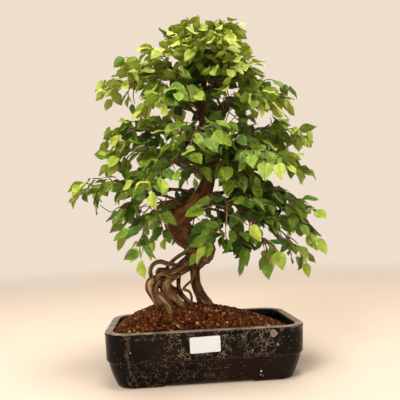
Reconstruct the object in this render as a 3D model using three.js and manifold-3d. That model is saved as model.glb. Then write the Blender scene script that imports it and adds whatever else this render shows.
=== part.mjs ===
// Korean hornbeam bonsai on exposed roots, in a glazed rectangular pot.
// Units are millimetres, +Z is up, and the origin is the centre of the pot's foot plane.

import * as THREE from "three";
import { mergeVertices } from "three/addons/utils/BufferGeometryUtils.js";
import Module from "manifold-3d";

// Pot
const RIM_LENGTH = 280;
const RIM_DEPTH = 153;
const RIM_CORNER = 31;
const RIM_WIDTH = 11.4;
const BASE_LENGTH = 247.5;
const BASE_DEPTH = 130;
const BASE_CORNER = 27;
const POT_HEIGHT = 73;
const BAND_FOOT = 34.7;
const CORNER_STEPS = 5;
// Each pair is a share of the way from the rim's outline to the base's outline, and a height.
const OUTER_PROFILE = [
  [1, 0],
  [0.78, 8],
  [0.54, 18],
  [0.36, 28],
  [0.29, BAND_FOOT - 1.2],
  [0.13, BAND_FOOT + 0.4],
  [0, 71.2],
  [0.09, POT_HEIGHT],
];
const BAND_ROW = 5;
const RIM_ROW = 6;
// Each pair is a distance in from the rim's outline, and a height.
const INNER_PROFILE = [
  [RIM_WIDTH - 1.6, POT_HEIGHT],
  [RIM_WIDTH, POT_HEIGHT - 1.4],
  [12.4, 60],
  [15.5, 34],
  [19.5, 18],
  [24, 12],
];
const FLOOR_HEIGHT = 12;
const WELL_CORNER_SHARE = 0.9;
const LEAST_WELL_CORNER = 12;
const FOOT_HEIGHT = 5.5;
const FOOT_GAP_LENGTH = 120;
const FOOT_GAP_DEPTH = 52;
const FOOT_GAP_FLARE = 4;
const FOOT_GAP_BELOW = 1;
const CUT_MARGIN = 10;
const DRAIN_RADIUS = 9;
const DRAIN_SPACING = 120;
const DRAIN_SIDES = 12;

// Mesh squares over the drain holes
const SCREEN_SIZE = 28;
const SCREEN_THICKNESS = 1.2;
const SCREEN_HOLES = 2;
const SCREEN_BAR = 4;

// Blank sticker on the front of the band
const LABEL_LENGTH = 41;
const LABEL_HEIGHT = 21;
const LABEL_CORNER = 1.8;
const LABEL_THICKNESS = 0.4;
const LABEL_CENTRE_X = -4;
const LABEL_CENTRE_Z = 55;
const LABEL_TILT_DEG = 1.5;

// Soil
const SOIL_EDGE = 61;
const SOIL_FALL_RIGHT = 0.04;
const SOIL_FALL_BACK = 0.06;
const SOIL_RISE = 36;
const SOIL_PEAK_X = -40;
const SOIL_LENGTH_POWER = 0.9;
const SOIL_DEPTH_POWER = 0.8;
const GRANULE_COLUMNS = 20;
const GRANULE_ROWS = 10;
const LEAST_RELIEF = 1;
const RELIEF_SPREAD = 2;
const GRANULE_JITTER = 0.22;
const SOIL_SEED = 11;

// Clearance kept between pieces that touch
const SEAT_GAP = 0.3;

// Trunk: points on its centre line, each with its radius.
const TRUNK = [
  [-9, -2, 152, 10],
  [-6, -1, 164, 17.5],
  [3, 0, 179, 20],
  [-10, -3, 193, 19],
  [-28, -6, 206, 18],
  [-37, -9, 220, 17.5],
  [-25, -7, 233, 16.5],
  [-8, -2, 245, 16.5],
  [3, 2, 258, 15],
  [13, 5, 277, 12.5],
  [20, 6, 305, 9.8],
  [18, 4, 332, 8],
  [13, 2, 360, 7],
  [10, 0, 395, 6.4],
  [12, 1, 430, 5.4],
  [22, 4, 478, 3.6],
];
const TRUNK_SIDES = 10;
const TRUNK_STEP = 24;
const TRUNK_FLUTES = 4;
const TRUNK_FLUTE_DEPTH = 0.09;
const TRUNK_FLUTE_TWIST = 5;

// Exposed roots: points on each centre line, each with its radius. All but the stubs end in the soil.
const ROOTS = {
  right_leg: [
    [2, -3, 172, 10],
    [-9, -6, 150, 8],
    [-9, -7, 132, 7],
    [-5, -6, 119, 6.8],
    [2, -4, 107, 6.6],
    [10, -2, 96, 6.6],
    [16, 0, 83, 6.4],
  ],
  big_shoulder: [
    [-2, -6, 166, 10],
    [-18, -10, 156, 8.5],
    [-34, -14, 147, 7],
    [-47, -17, 139, 7],
    [-56, -18, 130, 8],
    [-54, -18, 120, 8.2],
    [-45, -16, 110, 8],
    [-35, -14, 99, 7.6],
    [-26, -12, 83, 7],
  ],
  arch: [
    [-6, 0, 184, 4],
    [-24, 0, 175, 3.2],
    [-36, 3, 168, 3],
    [-47, 6, 159, 3.2],
    [-54, 8, 148, 3.2],
    [-57, 6, 136, 3],
  ],
  loop: [
    [-24, -8, 150, 4],
    [-40, -10, 157, 3.6],
    [-52, -10, 160, 3.6],
    [-63, -10, 163, 3.4],
    [-73, -11, 159, 3.2],
    [-77, -12, 150, 3.2],
    [-75, -14, 139, 3.6],
  ],
  cross_root: [
    [-28, -4, 148, 4.4],
    [-42, -4, 147, 4.4],
    [-56, -6, 150, 4],
    [-65, -7, 150, 4],
    [-65, -10, 140, 4],
    [-60, -13, 132, 4.5],
  ],
  folded: [
    [-34, -20, 141, 3.6],
    [-46, -24, 141, 3],
    [-56, -26, 146, 3],
    [-63, -26, 145, 3.2],
    [-68, -23, 137, 4],
    [-60, -20, 130, 4],
  ],
  knuckle: [
    [-54, -16, 136, 6],
    [-67, -19, 138, 7],
    [-76, -19, 134, 8],
    [-77, -18, 125, 7.6],
    [-74, -16, 115, 5.5],
    [-70, -15, 106, 4.6],
    [-63, -14, 97, 4.4],
    [-54, -13, 83, 4],
  ],
  front_thin: [
    [-62, -27, 136, 2.6],
    [-68, -30, 129, 2.2],
    [-67, -31, 121, 2.2],
    [-59, -32, 118, 2.2],
    [-52, -33, 110, 2.2],
    [-47, -34, 102, 2.2],
    [-41, -35, 84, 2],
  ],
  front_main: [
    [-70, -22, 128, 4.6],
    [-68, -26, 118, 5],
    [-61, -30, 109, 5.2],
    [-53, -33, 100, 5.2],
    [-45, -36, 83, 4.6],
  ],
  stub: [
    [-34, -6, 146, 4],
    [-35, 2, 134, 3.6],
    [-35, 6, 124, 3.2],
    [-30, 9, 112, 3],
  ],
  back_diagonal: [
    [-54, -6, 130, 5],
    [-46, 4, 122, 4.4],
    [-36, 8, 115, 4.2],
    [-27, 11, 106, 4],
    [-18, 12, 96, 3.8],
    [-11, 12, 83, 3.4],
  ],
  hanging_thin: [
    [-12, -16, 170, 2.6],
    [-14, -19, 158, 2.4],
    [-14, -20, 146, 2.2],
    [-16, -20, 135, 2.1],
    [-25, -20, 127, 2.1],
    [-29, -20, 122, 2.2],
    [-21, -20, 119, 2.1],
    [-17, -20, 112, 2.1],
    [-17, -20, 104, 2.1],
    [-13, -20, 84, 2],
  ],
  back_right: [
    [0, 6, 166, 9],
    [-8, 20, 146, 6.4],
    [-8, 33, 124, 6],
    [-2, 38, 103, 5.6],
    [6, 41, 70, 5],
  ],
  back_left: [
    [-12, 2, 170, 7],
    [-34, 16, 153, 6],
    [-54, 29, 134, 5.4],
    [-52, 35, 114, 5],
    [-44, 39, 98, 4.8],
    [-36, 43, 74, 4.4],
  ],
};
const ROOT_STEP = 13;
const THICK_ROOT_SIDES = 6;
const THIN_ROOT_SIDES = 4;
const THIN_ROOT_RADIUS = 3;
const ROOT_HOLE_GROWTH = 0.4;

// Branches: the radius where each leaves the trunk, then the points of its centre line to the leafy tip.
const BRANCHES = {
  left_inner_low: [2.8, [-22, -6, 236], [-48, -14, 240], [-64, -24, 222], [-72, -28, 196]],
  left_low_front: [3.2, [-12, -6, 243], [-46, -32, 250], [-73, -56, 228], [-92, -71, 190]],
  left_low: [3.4, [-8, 0, 247], [-52, -2, 262], [-96, -2, 260], [-120, -5, 238]],
  left_low_back: [3.2, [-4, 6, 250], [-40, 38, 260], [-76, 70, 252], [-102, 96, 226]],
  left_long: [3.8, [4, 4, 262], [-42, 8, 276], [-96, 6, 286], [-142, 2, 286], [-175, -2, 274]],
  left_front: [3.0, [14, 2, 285], [-10, -36, 302], [-40, -76, 300], [-74, -108, 274]],
  left_middle: [3.0, [18, 5, 300], [-22, 0, 320], [-68, -10, 332], [-112, -14, 328], [-131, -14, 312]],
  left_back: [3.0, [20, 8, 315], [-10, 42, 334], [-50, 80, 338], [-88, 112, 316]],
  left_upper: [2.8, [15, 4, 345], [-22, 8, 362], [-70, 4, 374], [-110, 0, 366], [-134, -4, 350]],
  top_left: [2.4, [10, 2, 400], [-24, 6, 428], [-70, 0, 445], [-110, -6, 443], [-138, -10, 428]],
  top_left_back: [2.2, [11, 2, 420], [-20, 24, 458], [-62, 36, 482], [-104, 30, 482]],
  top_left_front: [3.4, [11, 0, 385], [-22, -12, 412], [-40, -18, 442], [-46, -30, 472], [-64, -40, 482]],
  top_left_crown: [2.0, [15, 2, 448], [-2, 0, 486], [-14, 2, 512], [-24, 2, 527]],
  crown: [2.6, [22, 4, 478], [32, 2, 502], [46, 0, 520], [62, -2, 528]],
  crown_middle: [2.0, [20, 4, 466], [12, 4, 494], [2, 4, 514], [-6, 2, 527]],
  crown_back: [2.2, [16, 3, 452], [22, 28, 480], [30, 54, 502], [34, 66, 510]],
  crown_front: [2.2, [13, 1, 435], [18, -28, 464], [20, -58, 480], [18, -80, 476]],
  top_right: [2.4, [12, 1, 430], [44, -2, 448], [74, -6, 456], [92, -10, 446]],
  top_right_back: [2.2, [16, 3, 452], [36, 14, 480], [56, 22, 494], [70, 24, 492]],
  front_right_upper: [2.2, [13, 1, 410], [30, -26, 438], [54, -44, 450], [74, -52, 442]],
  right_upper: [2.8, [12, 2, 372], [48, 4, 402], [92, 0, 421], [124, -4, 419], [137, -6, 409]],
  right_upper_back: [2.6, [12, 4, 385], [34, 38, 412], [64, 76, 424], [90, 100, 408]],
  back_upper: [2.4, [12, 4, 400], [2, 38, 430], [-8, 74, 444], [-14, 98, 434]],
  front_upper: [2.4, [11, 0, 395], [-12, -28, 412], [-38, -54, 414], [-64, -72, 390]],
  right_upper_front: [2.6, [14, 2, 360], [40, -30, 390], [70, -60, 402], [96, -78, 390]],
  right_middle: [3.2, [16, 4, 340], [60, -2, 358], [112, -8, 366], [148, -10, 362], [166, -8, 352]],
  right_middle_low: [3.0, [18, 5, 322], [64, 4, 332], [116, 0, 326], [152, -4, 314], [168, -6, 299]],
  right_inner_front: [2.4, [19, 4, 304], [36, -22, 314], [50, -44, 306], [56, -56, 284]],
  right_front: [3.2, [20, 2, 312], [46, -38, 328], [78, -78, 322], [108, -104, 294]],
  right_long: [3.6, [21, 6, 300], [70, 8, 295], [122, 6, 273], [158, 0, 252], [175, -2, 232]],
  right_back: [3.2, [18, 10, 305], [44, 48, 322], [82, 88, 312], [114, 112, 282]],
  back_middle: [3.0, [20, 8, 330], [20, 50, 352], [12, 94, 344], [4, 120, 312]],
  front_middle: [3.0, [14, 0, 330], [8, -38, 352], [-4, -80, 348], [-18, -110, 318]],
  right_low: [3.4, [10, 4, 262], [58, -4, 268], [110, -14, 249], [150, -20, 220], [168, -18, 197]],
  right_low_end: [2.8, [10, 4, 256], [60, 2, 248], [108, -2, 219], [142, -8, 187], [154, -10, 172]],
  right_low_front: [3.2, [6, -4, 250], [36, -34, 250], [69, -54, 222], [91, -62, 174]],
  right_inner_low: [2.6, [4, -2, 243], [30, -10, 236], [54, -18, 206], [65, -22, 175]],
  right_low_back: [3.2, [8, 8, 258], [42, 44, 262], [80, 78, 240], [110, 98, 204]],
  front_low: [2.8, [8, -6, 258], [22, -46, 262], [30, -82, 240], [27, -98, 212]],
  trunk_front: [2.2, [8, -6, 250], [24, -34, 244], [20, -58, 216], [4, -64, 188]],
  back_low: [3.2, [2, 6, 260], [4, 48, 266], [0, 90, 242], [-6, 110, 206]],
};
const BRANCH_TIP_RADIUS = 1;
const BRANCH_TAPER_POWER = 1.5;
const BRANCH_SIDES = 4;
const BRANCH_STEP = 48;
const WOOD_SHARE = 0.47;

// Side twigs of a spray: where each leaves the stem, its side, its length and its rise.
const SIDE_TWIGS = [
  { share: 0.55, side: 1, length: 44, rise: 0.25 },
  { share: 0.73, side: -1, length: 38, rise: -0.1 },
];
const TWIG_ANGLE_DEG = 58;
const TWIG_SAG = 0.3;
const TWIG_RADIUS = 1.2;
const TWIG_SIDES = 3;
const STEM_SIDES = 3;

// Leaves: where they sit on a spray. Stem 0 is the main stem, and side 0 is the leaf at a stem's tip.
const LEAF_SEATS = [
  { stem: 0, share: 0.7, side: 1 },
  { stem: 0, share: 0.88, side: -1 },
  { stem: 0, share: 0.99, side: 0 },
  { stem: 1, share: 0.5, side: -1 },
  { stem: 1, share: 0.97, side: 0 },
  { stem: 2, share: 0.97, side: 0 },
];
const LEAF_LENGTH = 33;
const LEAF_LENGTH_SPREAD = 3;
const LEAF_WIDTH_SHARE = 0.61;
const LEAF_THICKNESS = 1.3;
const LEAF_FOLD = 0.28;
const LEAF_BEND = 0.2;
const LEAF_ANGLE_DEG = 52;
const LEAF_TURN_DEG = 30;
const LEAF_LEAST_DROOP = -0.05;
const LEAF_DROOP_SPREAD = 0.9;
const LEAF_OUTWARD = 0.6;
const LEAF_SCATTER = 0.7;
const LEAF_TRIES = 14;
const LEAF_SEED = 20;
const SEEDS_PER_SPRAY = 100;
// One half of the outline, stalk and teeth included: shares of the length and of the width.
const LEAF_EDGE = [
  [0.16, 0.045],
  [0.44, 0.5],
  [0.56, 0.39],
  [0.7, 0.4],
];
const LEAF_RIB = [0.3, 0.64];

const wasm = await Module();
wasm.setup();

// A repeatable stream of numbers from 0 to 1.
function seededRandom(seed) {
  let state = seed >>> 0;
  return () => {
    state = (state + 0x6d2b79f5) >>> 0;
    let mixed = Math.imul(state ^ (state >>> 15), state | 1);
    mixed ^= mixed + Math.imul(mixed ^ (mixed >>> 7), mixed | 61);
    return ((mixed ^ (mixed >>> 14)) >>> 0) / 2 ** 32;
  };
}

// Closed meshes

function closedGeometry(points, faces) {
  const geometry = new THREE.BufferGeometry();
  const positions = points.flatMap((point) => [point.x, point.y, point.z]);
  geometry.setAttribute("position", new THREE.Float32BufferAttribute(positions, 3));
  geometry.setIndex(faces);
  return geometry;
}

// A closed skin over a row of rings that all have the same number of points.
function loft(rings) {
  const count = rings[0].length;
  const faces = [];
  for (let row = 0; row + 1 < rings.length; row++) {
    for (let i = 0; i < count; i++) {
      const near = row * count + i;
      const next = row * count + ((i + 1) % count);
      faces.push(near, next, next + count, near, next + count, near + count);
    }
  }
  const last = (rings.length - 1) * count;
  for (let i = 1; i + 1 < count; i++) {
    faces.push(0, i + 1, i);
    faces.push(last, last + i, last + i + 1);
  }
  return closedGeometry(rings.flat(), faces);
}

function toSolid(geometry) {
  const bare = geometry.clone();
  bare.deleteAttribute("normal");
  bare.deleteAttribute("uv");
  const merged = mergeVertices(bare, 1e-4);
  const vertProperties = new Float32Array(merged.attributes.position.array);
  const triVerts = new Uint32Array(merged.index.array);
  return new wasm.Manifold(new wasm.Mesh({ numProp: 3, vertProperties, triVerts }));
}

function toGeometry(solid) {
  const { numProp, vertProperties, triVerts } = solid.getMesh();
  const points = [];
  for (let i = 0; i < vertProperties.length; i += numProp) {
    points.push(new THREE.Vector3(...vertProperties.slice(i, i + 3)));
  }
  return closedGeometry(points, Array.from(triVerts));
}

function joined(solids) {
  return solids.reduce((whole, solid) => whole.add(solid));
}

function largestPiece(solid) {
  const pieces = solid.decompose();
  return pieces.reduce((best, piece) => (piece.volume() > best.volume() ? piece : best));
}

// Tubes along a centre line

function centreLine(points) {
  const places = points.map(([x, y, z]) => new THREE.Vector3(x, y, z));
  return new THREE.CatmullRomCurve3(places, false, "centripetal");
}

// The shares of a curve, from `from` to `to`, where a tube has its rings.
function ringShares(curve, step, from, to) {
  const count = Math.max(1, Math.round((curve.getLength() * (to - from)) / step));
  return Array.from({ length: count + 1 }, (_, k) => from + ((to - from) * k) / count);
}

// The middle of a tube between its rings, where it runs straight from one to the next.
function tubeMiddle(curve, step, from = 0) {
  const shares = ringShares(curve, step, from, 1);
  const pointAt = (share) => {
    const place = ((share - from) / (1 - from)) * (shares.length - 1);
    const before = Math.min(Math.floor(place), shares.length - 2);
    return curve.getPointAt(shares[before]).lerp(curve.getPointAt(shares[before + 1]), place - before);
  };
  return { pointAt, aheadAt: (share) => curve.getTangentAt(share) };
}

// A heading that no tube starts along: it turns the first ring of each.
const RING_GUIDE = new THREE.Vector3(0.31, 0.52, 0.8);

// Rings round a curve, turned as little as possible from one to the next.
function ringsAlong(curve, { sides, step, radiusAt, from = 0, to = 1, shape = () => 1 }) {
  const rings = [];
  let across = null;
  for (const share of ringShares(curve, step, from, to)) {
    const centre = curve.getPointAt(share);
    const ahead = curve.getTangentAt(share);
    const guide = across ?? RING_GUIDE.clone().cross(ahead);
    across = guide.clone().addScaledVector(ahead, -guide.dot(ahead)).normalize();
    const beside = ahead.clone().cross(across);
    const ring = [];
    for (let i = 0; i < sides; i++) {
      const angle = (i / sides) * Math.PI * 2;
      const radius = radiusAt(share) * shape(angle, share);
      const point = centre.clone();
      point.addScaledVector(across, radius * Math.cos(angle));
      point.addScaledVector(beside, radius * Math.sin(angle));
      ring.push(point);
    }
    rings.push(ring);
  }
  return rings;
}

// The radius along a line whose points each carry one.
function carriedRadius(curve, points, growth = 0) {
  return (share) => {
    const place = curve.getUtoTmapping(share) * (points.length - 1);
    const before = Math.min(Math.floor(place), points.length - 2);
    const [near, far] = [points[before][3], points[before + 1][3]];
    return near + (far - near) * (place - before) + growth;
  };
}

function trunkSolid() {
  const curve = centreLine(TRUNK);
  const radiusAt = carriedRadius(curve, TRUNK);
  const flute = (angle, share) => Math.sin(TRUNK_FLUTES * angle + TRUNK_FLUTE_TWIST * share);
  const shape = (angle, share) => 1 + TRUNK_FLUTE_DEPTH * flute(angle, share);
  return toSolid(loft(ringsAlong(curve, { sides: TRUNK_SIDES, step: TRUNK_STEP, radiusAt, shape })));
}

function rootSolid(points, growth = 0) {
  const curve = centreLine(points);
  const thickest = Math.max(...points.map((point) => point[3]));
  const sides = thickest > THIN_ROOT_RADIUS ? THICK_ROOT_SIDES : THIN_ROOT_SIDES;
  const radiusAt = carriedRadius(curve, points, growth);
  return toSolid(loft(ringsAlong(curve, { sides, step: ROOT_STEP, radiusAt })));
}

// Branches: wood up to WOOD_SHARE of the way, and a leafy spray from there on.

const branches = Object.entries(BRANCHES).map(([name, [rootRadius, ...points]]) => {
  const curve = centreLine(points);
  const extra = rootRadius - BRANCH_TIP_RADIUS;
  const radiusAt = (share) => BRANCH_TIP_RADIUS + extra * (1 - share) ** BRANCH_TAPER_POWER;
  return { name, curve, radiusAt };
});

function branchWood({ curve, radiusAt }) {
  const rings = ringsAlong(curve, { sides: BRANCH_SIDES, step: BRANCH_STEP, radiusAt, to: WOOD_SHARE });
  return toSolid(loft(rings));
}

const UP = new THREE.Vector3(0, 0, 1);

function twigCurve(parent, { share, side, length, rise }) {
  const start = parent.pointAt(share);
  const ahead = parent.aheadAt(share);
  const beside = ahead.clone().cross(UP).normalize();
  const angle = THREE.MathUtils.degToRad(TWIG_ANGLE_DEG);
  const heading = ahead.multiplyScalar(Math.cos(angle)).addScaledVector(beside, side * Math.sin(angle));
  heading.addScaledVector(UP, rise).normalize();
  const middle = start.clone().addScaledVector(heading, length / 2);
  const end = start.clone().addScaledVector(heading, length).addScaledVector(UP, -length * TWIG_SAG);
  return new THREE.CatmullRomCurve3([start, middle, end], false, "centripetal");
}

function sprayStems({ curve, radiusAt }) {
  const from = WOOD_SHARE + SEAT_GAP / curve.getLength();
  const main = toSolid(loft(ringsAlong(curve, { sides: STEM_SIDES, step: BRANCH_STEP, radiusAt, from })));
  const middle = tubeMiddle(curve, BRANCH_STEP, from);
  const twigs = SIDE_TWIGS.map((twig) => twigCurve(middle, twig));
  const twigSolids = twigs.map((twig) => {
    const rings = ringsAlong(twig, { sides: TWIG_SIDES, step: BRANCH_STEP, radiusAt: () => TWIG_RADIUS });
    return toSolid(loft(rings));
  });
  const twigMiddles = twigs.map((twig) => tubeMiddle(twig, BRANCH_STEP));
  return { stems: [middle, ...twigMiddles], solids: [main, ...twigSolids] };
}

// Leaves

// One blade: it starts at x = 0, points along +X and faces +Z. Its edge is thin and its rib thick.
function bladeGeometry(length, growth = 0) {
  const width = length * LEAF_WIDTH_SHARE;
  const height = (along, aside) => LEAF_FOLD * Math.abs(aside) - LEAF_BEND * length * along * along;
  const edgePoint = (along, aside) => {
    const offset = aside === 0 ? 0 : Math.sign(aside) * growth;
    return new THREE.Vector3(length * along, aside + offset, height(along, aside));
  };
  const tip = edgePoint(1 + growth / length, 0);
  const root = edgePoint(0, 0);
  const right = LEAF_EDGE.map(([along, aside]) => edgePoint(along, -aside * width));
  const left = LEAF_EDGE.map(([along, aside]) => edgePoint(along, aside * width));
  const rim = [root, ...right, tip, ...left.reverse()];
  const half = LEAF_THICKNESS / 2 + growth;
  const ribPoint = (along, side) => new THREE.Vector3(length * along, 0, height(along, 0) + side * half);
  const upper = LEAF_RIB.map((along) => ribPoint(along, 1));
  const under = LEAF_RIB.map((along) => ribPoint(along, -1));
  const upperFace = bladeFace(rim.length, rim.length, false);
  const underFace = bladeFace(rim.length, rim.length + upper.length, true);
  return closedGeometry([...rim, ...upper, ...under], [...upperFace, ...underFace]);
}

// The triangles of one side of a blade: the edge is joined to two points on the rib.
function bladeFace(count, firstRib, flipped) {
  const secondRib = firstRib + 1;
  const tip = count / 2;
  const switchRight = Math.ceil(tip / 2);
  const switchLeft = count - switchRight;
  const faces = [];
  for (let i = 0; i < count; i++) {
    const next = (i + 1) % count;
    const nearTip = i >= switchRight && i < switchLeft;
    faces.push([i, next, nearTip ? secondRib : firstRib]);
  }
  faces.push([switchRight, secondRib, firstRib]);
  faces.push([switchLeft, firstRib, secondRib]);
  return faces.flatMap(([a, b, c]) => (flipped ? [b, a, c] : [a, b, c]));
}

// Where one leaf may lie: it leaves its stem to one side, hangs down and faces up and outward.
function leafPlacement(stem, seat, random) {
  const base = stem.pointAt(seat.share);
  const ahead = stem.aheadAt(seat.share);
  const beside = ahead.clone().cross(UP).normalize();
  const either = () => 2 * random() - 1;
  const degrees = LEAF_ANGLE_DEG * Math.abs(seat.side) + LEAF_TURN_DEG * either();
  const angle = THREE.MathUtils.degToRad(degrees);
  const along = ahead.clone().multiplyScalar(Math.cos(angle));
  along.addScaledVector(beside, (seat.side || 1) * Math.sin(angle));
  along.addScaledVector(UP, -LEAF_LEAST_DROOP - LEAF_DROOP_SPREAD * random()).normalize();
  const outward = new THREE.Vector3(base.x, base.y, 0).normalize();
  const facing = UP.clone().addScaledVector(outward, LEAF_OUTWARD);
  facing.add(new THREE.Vector3(LEAF_SCATTER * either(), LEAF_SCATTER * either(), 0));
  facing.addScaledVector(along, -facing.dot(along)).normalize();
  const matrix = new THREE.Matrix4().makeBasis(along, facing.clone().cross(along), facing);
  return matrix.setPosition(base);
}

function boxed(solid, owner, stem = false) {
  const { min, max } = solid.boundingBox();
  const box = new THREE.Box3(new THREE.Vector3(...min), new THREE.Vector3(...max));
  return { solid, owner, stem, box };
}

function isClear(test, placed) {
  return placed.every((other) => {
    if ((other.owner === test.owner && other.stem) || !other.box.intersectsBox(test.box)) {
      return true;
    }
    return test.solid.intersect(other.solid).isEmpty();
  });
}

function placedBlade(length, matrix, growth) {
  return toSolid(bladeGeometry(length, growth).applyMatrix4(matrix));
}

// Each leaf turns until it clears all that is placed, and one that never does is left out.
function growLeaves(spray, sprayIndex, placed) {
  const leaves = [];
  LEAF_SEATS.forEach((seat, seatIndex) => {
    const random = seededRandom(LEAF_SEED + sprayIndex * SEEDS_PER_SPRAY + seatIndex);
    const length = LEAF_LENGTH + LEAF_LENGTH_SPREAD * (2 * random() - 1);
    for (let attempt = 0; attempt < LEAF_TRIES; attempt++) {
      const matrix = leafPlacement(spray.stems[seat.stem], seat, random);
      const test = boxed(placedBlade(length, matrix, SEAT_GAP), sprayIndex);
      if (isClear(test, placed)) {
        const leaf = placedBlade(length, matrix, 0);
        placed.push(boxed(leaf, sprayIndex));
        leaves.push(leaf);
        break;
      }
    }
  });
  return leaves;
}

// Pot

// A rounded rectangle, counter-clockwise seen from above.
function roundedRing(halfLength, halfDepth, corner, z) {
  const ring = [];
  for (let quarter = 0; quarter < 4; quarter++) {
    const signX = quarter === 0 || quarter === 3 ? 1 : -1;
    const signY = quarter < 2 ? 1 : -1;
    for (let step = 0; step <= CORNER_STEPS; step++) {
      const angle = ((quarter + step / CORNER_STEPS) * Math.PI) / 2;
      const x = signX * (halfLength - corner) + corner * Math.cos(angle);
      const y = signY * (halfDepth - corner) + corner * Math.sin(angle);
      ring.push(new THREE.Vector3(x, y, z));
    }
  }
  return ring;
}

function outerRing([share, z]) {
  const halfLength = THREE.MathUtils.lerp(RIM_LENGTH, BASE_LENGTH, share) / 2;
  const halfDepth = THREE.MathUtils.lerp(RIM_DEPTH, BASE_DEPTH, share) / 2;
  return roundedRing(halfLength, halfDepth, THREE.MathUtils.lerp(RIM_CORNER, BASE_CORNER, share), z);
}

function innerRing([inset, z]) {
  const corner = Math.max(RIM_CORNER - inset * WELL_CORNER_SHARE, LEAST_WELL_CORNER);
  return roundedRing(RIM_LENGTH / 2 - inset, RIM_DEPTH / 2 - inset, corner, z);
}

// A bar under the pot along Y, wider at the table, that leaves a gap between two feet.
function footGap(width, reach) {
  const shape = new THREE.Shape();
  shape.moveTo(-width / 2 - FOOT_GAP_FLARE, -FOOT_GAP_BELOW);
  shape.lineTo(width / 2 + FOOT_GAP_FLARE, -FOOT_GAP_BELOW);
  shape.lineTo(width / 2, FOOT_HEIGHT);
  shape.lineTo(-width / 2, FOOT_HEIGHT);
  const geometry = new THREE.ExtrudeGeometry(shape, { depth: reach, bevelEnabled: false });
  return geometry.translate(0, 0, -reach / 2).rotateX(Math.PI / 2);
}

function drainHole(x) {
  const length = 4 * FLOOR_HEIGHT;
  const geometry = new THREE.CylinderGeometry(DRAIN_RADIUS, DRAIN_RADIUS, length, DRAIN_SIDES);
  return toSolid(geometry.rotateX(Math.PI / 2).translate(x, 0, 0));
}

function potGeometry() {
  const clay = toSolid(loft([...OUTER_PROFILE.map(outerRing), ...INNER_PROFILE.map(innerRing)]));
  const gapAcross = toSolid(footGap(FOOT_GAP_LENGTH, RIM_DEPTH + 2 * CUT_MARGIN));
  const gapAlong = toSolid(footGap(FOOT_GAP_DEPTH, RIM_LENGTH + 2 * CUT_MARGIN).rotateZ(Math.PI / 2));
  let pot = clay.subtract(gapAcross).subtract(gapAlong);
  for (const x of [-DRAIN_SPACING / 2, DRAIN_SPACING / 2]) {
    pot = pot.subtract(drainHole(x));
  }
  return toGeometry(pot);
}

function boxSolid(length, depth, height, x, y, z) {
  return toSolid(new THREE.BoxGeometry(length, depth, height).translate(x, y, z));
}

function screenGeometry() {
  const hole = (SCREEN_SIZE - SCREEN_BAR * (SCREEN_HOLES + 1)) / SCREEN_HOLES;
  const pitch = hole + SCREEN_BAR;
  let plate = boxSolid(SCREEN_SIZE, SCREEN_SIZE, SCREEN_THICKNESS, 0, 0, SCREEN_THICKNESS / 2);
  for (let row = 0; row < SCREEN_HOLES; row++) {
    for (let column = 0; column < SCREEN_HOLES; column++) {
      const x = (column - (SCREEN_HOLES - 1) / 2) * pitch;
      const y = (row - (SCREEN_HOLES - 1) / 2) * pitch;
      plate = plate.subtract(boxSolid(hole, hole, 4 * SCREEN_THICKNESS, x, y, 0));
    }
  }
  return toGeometry(plate);
}

function labelGeometry() {
  const [halfLength, halfHeight] = [LABEL_LENGTH / 2, LABEL_HEIGHT / 2];
  const shape = new THREE.Shape();
  const corners = [
    [halfLength, halfHeight, 0],
    [-halfLength, halfHeight, 1],
    [-halfLength, -halfHeight, 2],
    [halfLength, -halfHeight, 3],
  ];
  for (const [x, y, quarter] of corners) {
    const centreX = x - Math.sign(x) * LABEL_CORNER;
    const centreY = y - Math.sign(y) * LABEL_CORNER;
    const start = (quarter * Math.PI) / 2;
    shape.absarc(centreX, centreY, LABEL_CORNER, start, start + Math.PI / 2, false);
  }
  const extrusion = { depth: LABEL_THICKNESS, bevelEnabled: false, curveSegments: 2 };
  return new THREE.ExtrudeGeometry(shape, extrusion);
}

// Soil

// The mound is highest left of the middle, and lower at the right end and at the back.
function moundHeight(x, y) {
  const offPeak = x - SOIL_PEAK_X;
  const reach = RIM_LENGTH / 2 - RIM_WIDTH - Math.sign(offPeak) * SOIL_PEAK_X;
  const along = Math.max(0, 1 - (offPeak / reach) ** 2) ** SOIL_LENGTH_POWER;
  const across = Math.max(0, 1 - (y / (RIM_DEPTH / 2 - RIM_WIDTH)) ** 2) ** SOIL_DEPTH_POWER;
  const edge = SOIL_EDGE - SOIL_FALL_RIGHT * x - SOIL_FALL_BACK * y;
  return edge + SOIL_RISE * along * across;
}

// A block whose top is the mound, with every second grid point raised as a granule.
function granuleBlock() {
  const random = seededRandom(SOIL_SEED);
  const top = [];
  const bottom = [];
  for (let row = 0; row <= GRANULE_ROWS; row++) {
    for (let column = 0; column <= GRANULE_COLUMNS; column++) {
      const edge = row === 0 || column === 0 || row === GRANULE_ROWS || column === GRANULE_COLUMNS;
      const jitter = edge ? 0 : GRANULE_JITTER;
      const x = ((column + jitter * (2 * random() - 1)) / GRANULE_COLUMNS - 0.5) * RIM_LENGTH;
      const y = ((row + jitter * (2 * random() - 1)) / GRANULE_ROWS - 0.5) * RIM_DEPTH;
      const relief = LEAST_RELIEF + RELIEF_SPREAD * random();
      const raised = (row + column) % 2 === 0;
      top.push(new THREE.Vector3(x, y, moundHeight(x, y) + (raised ? relief : -relief)));
      bottom.push(new THREE.Vector3(x, y, 0));
    }
  }
  return closedGeometry([...top, ...bottom], granuleFaces(top.length));
}

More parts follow.
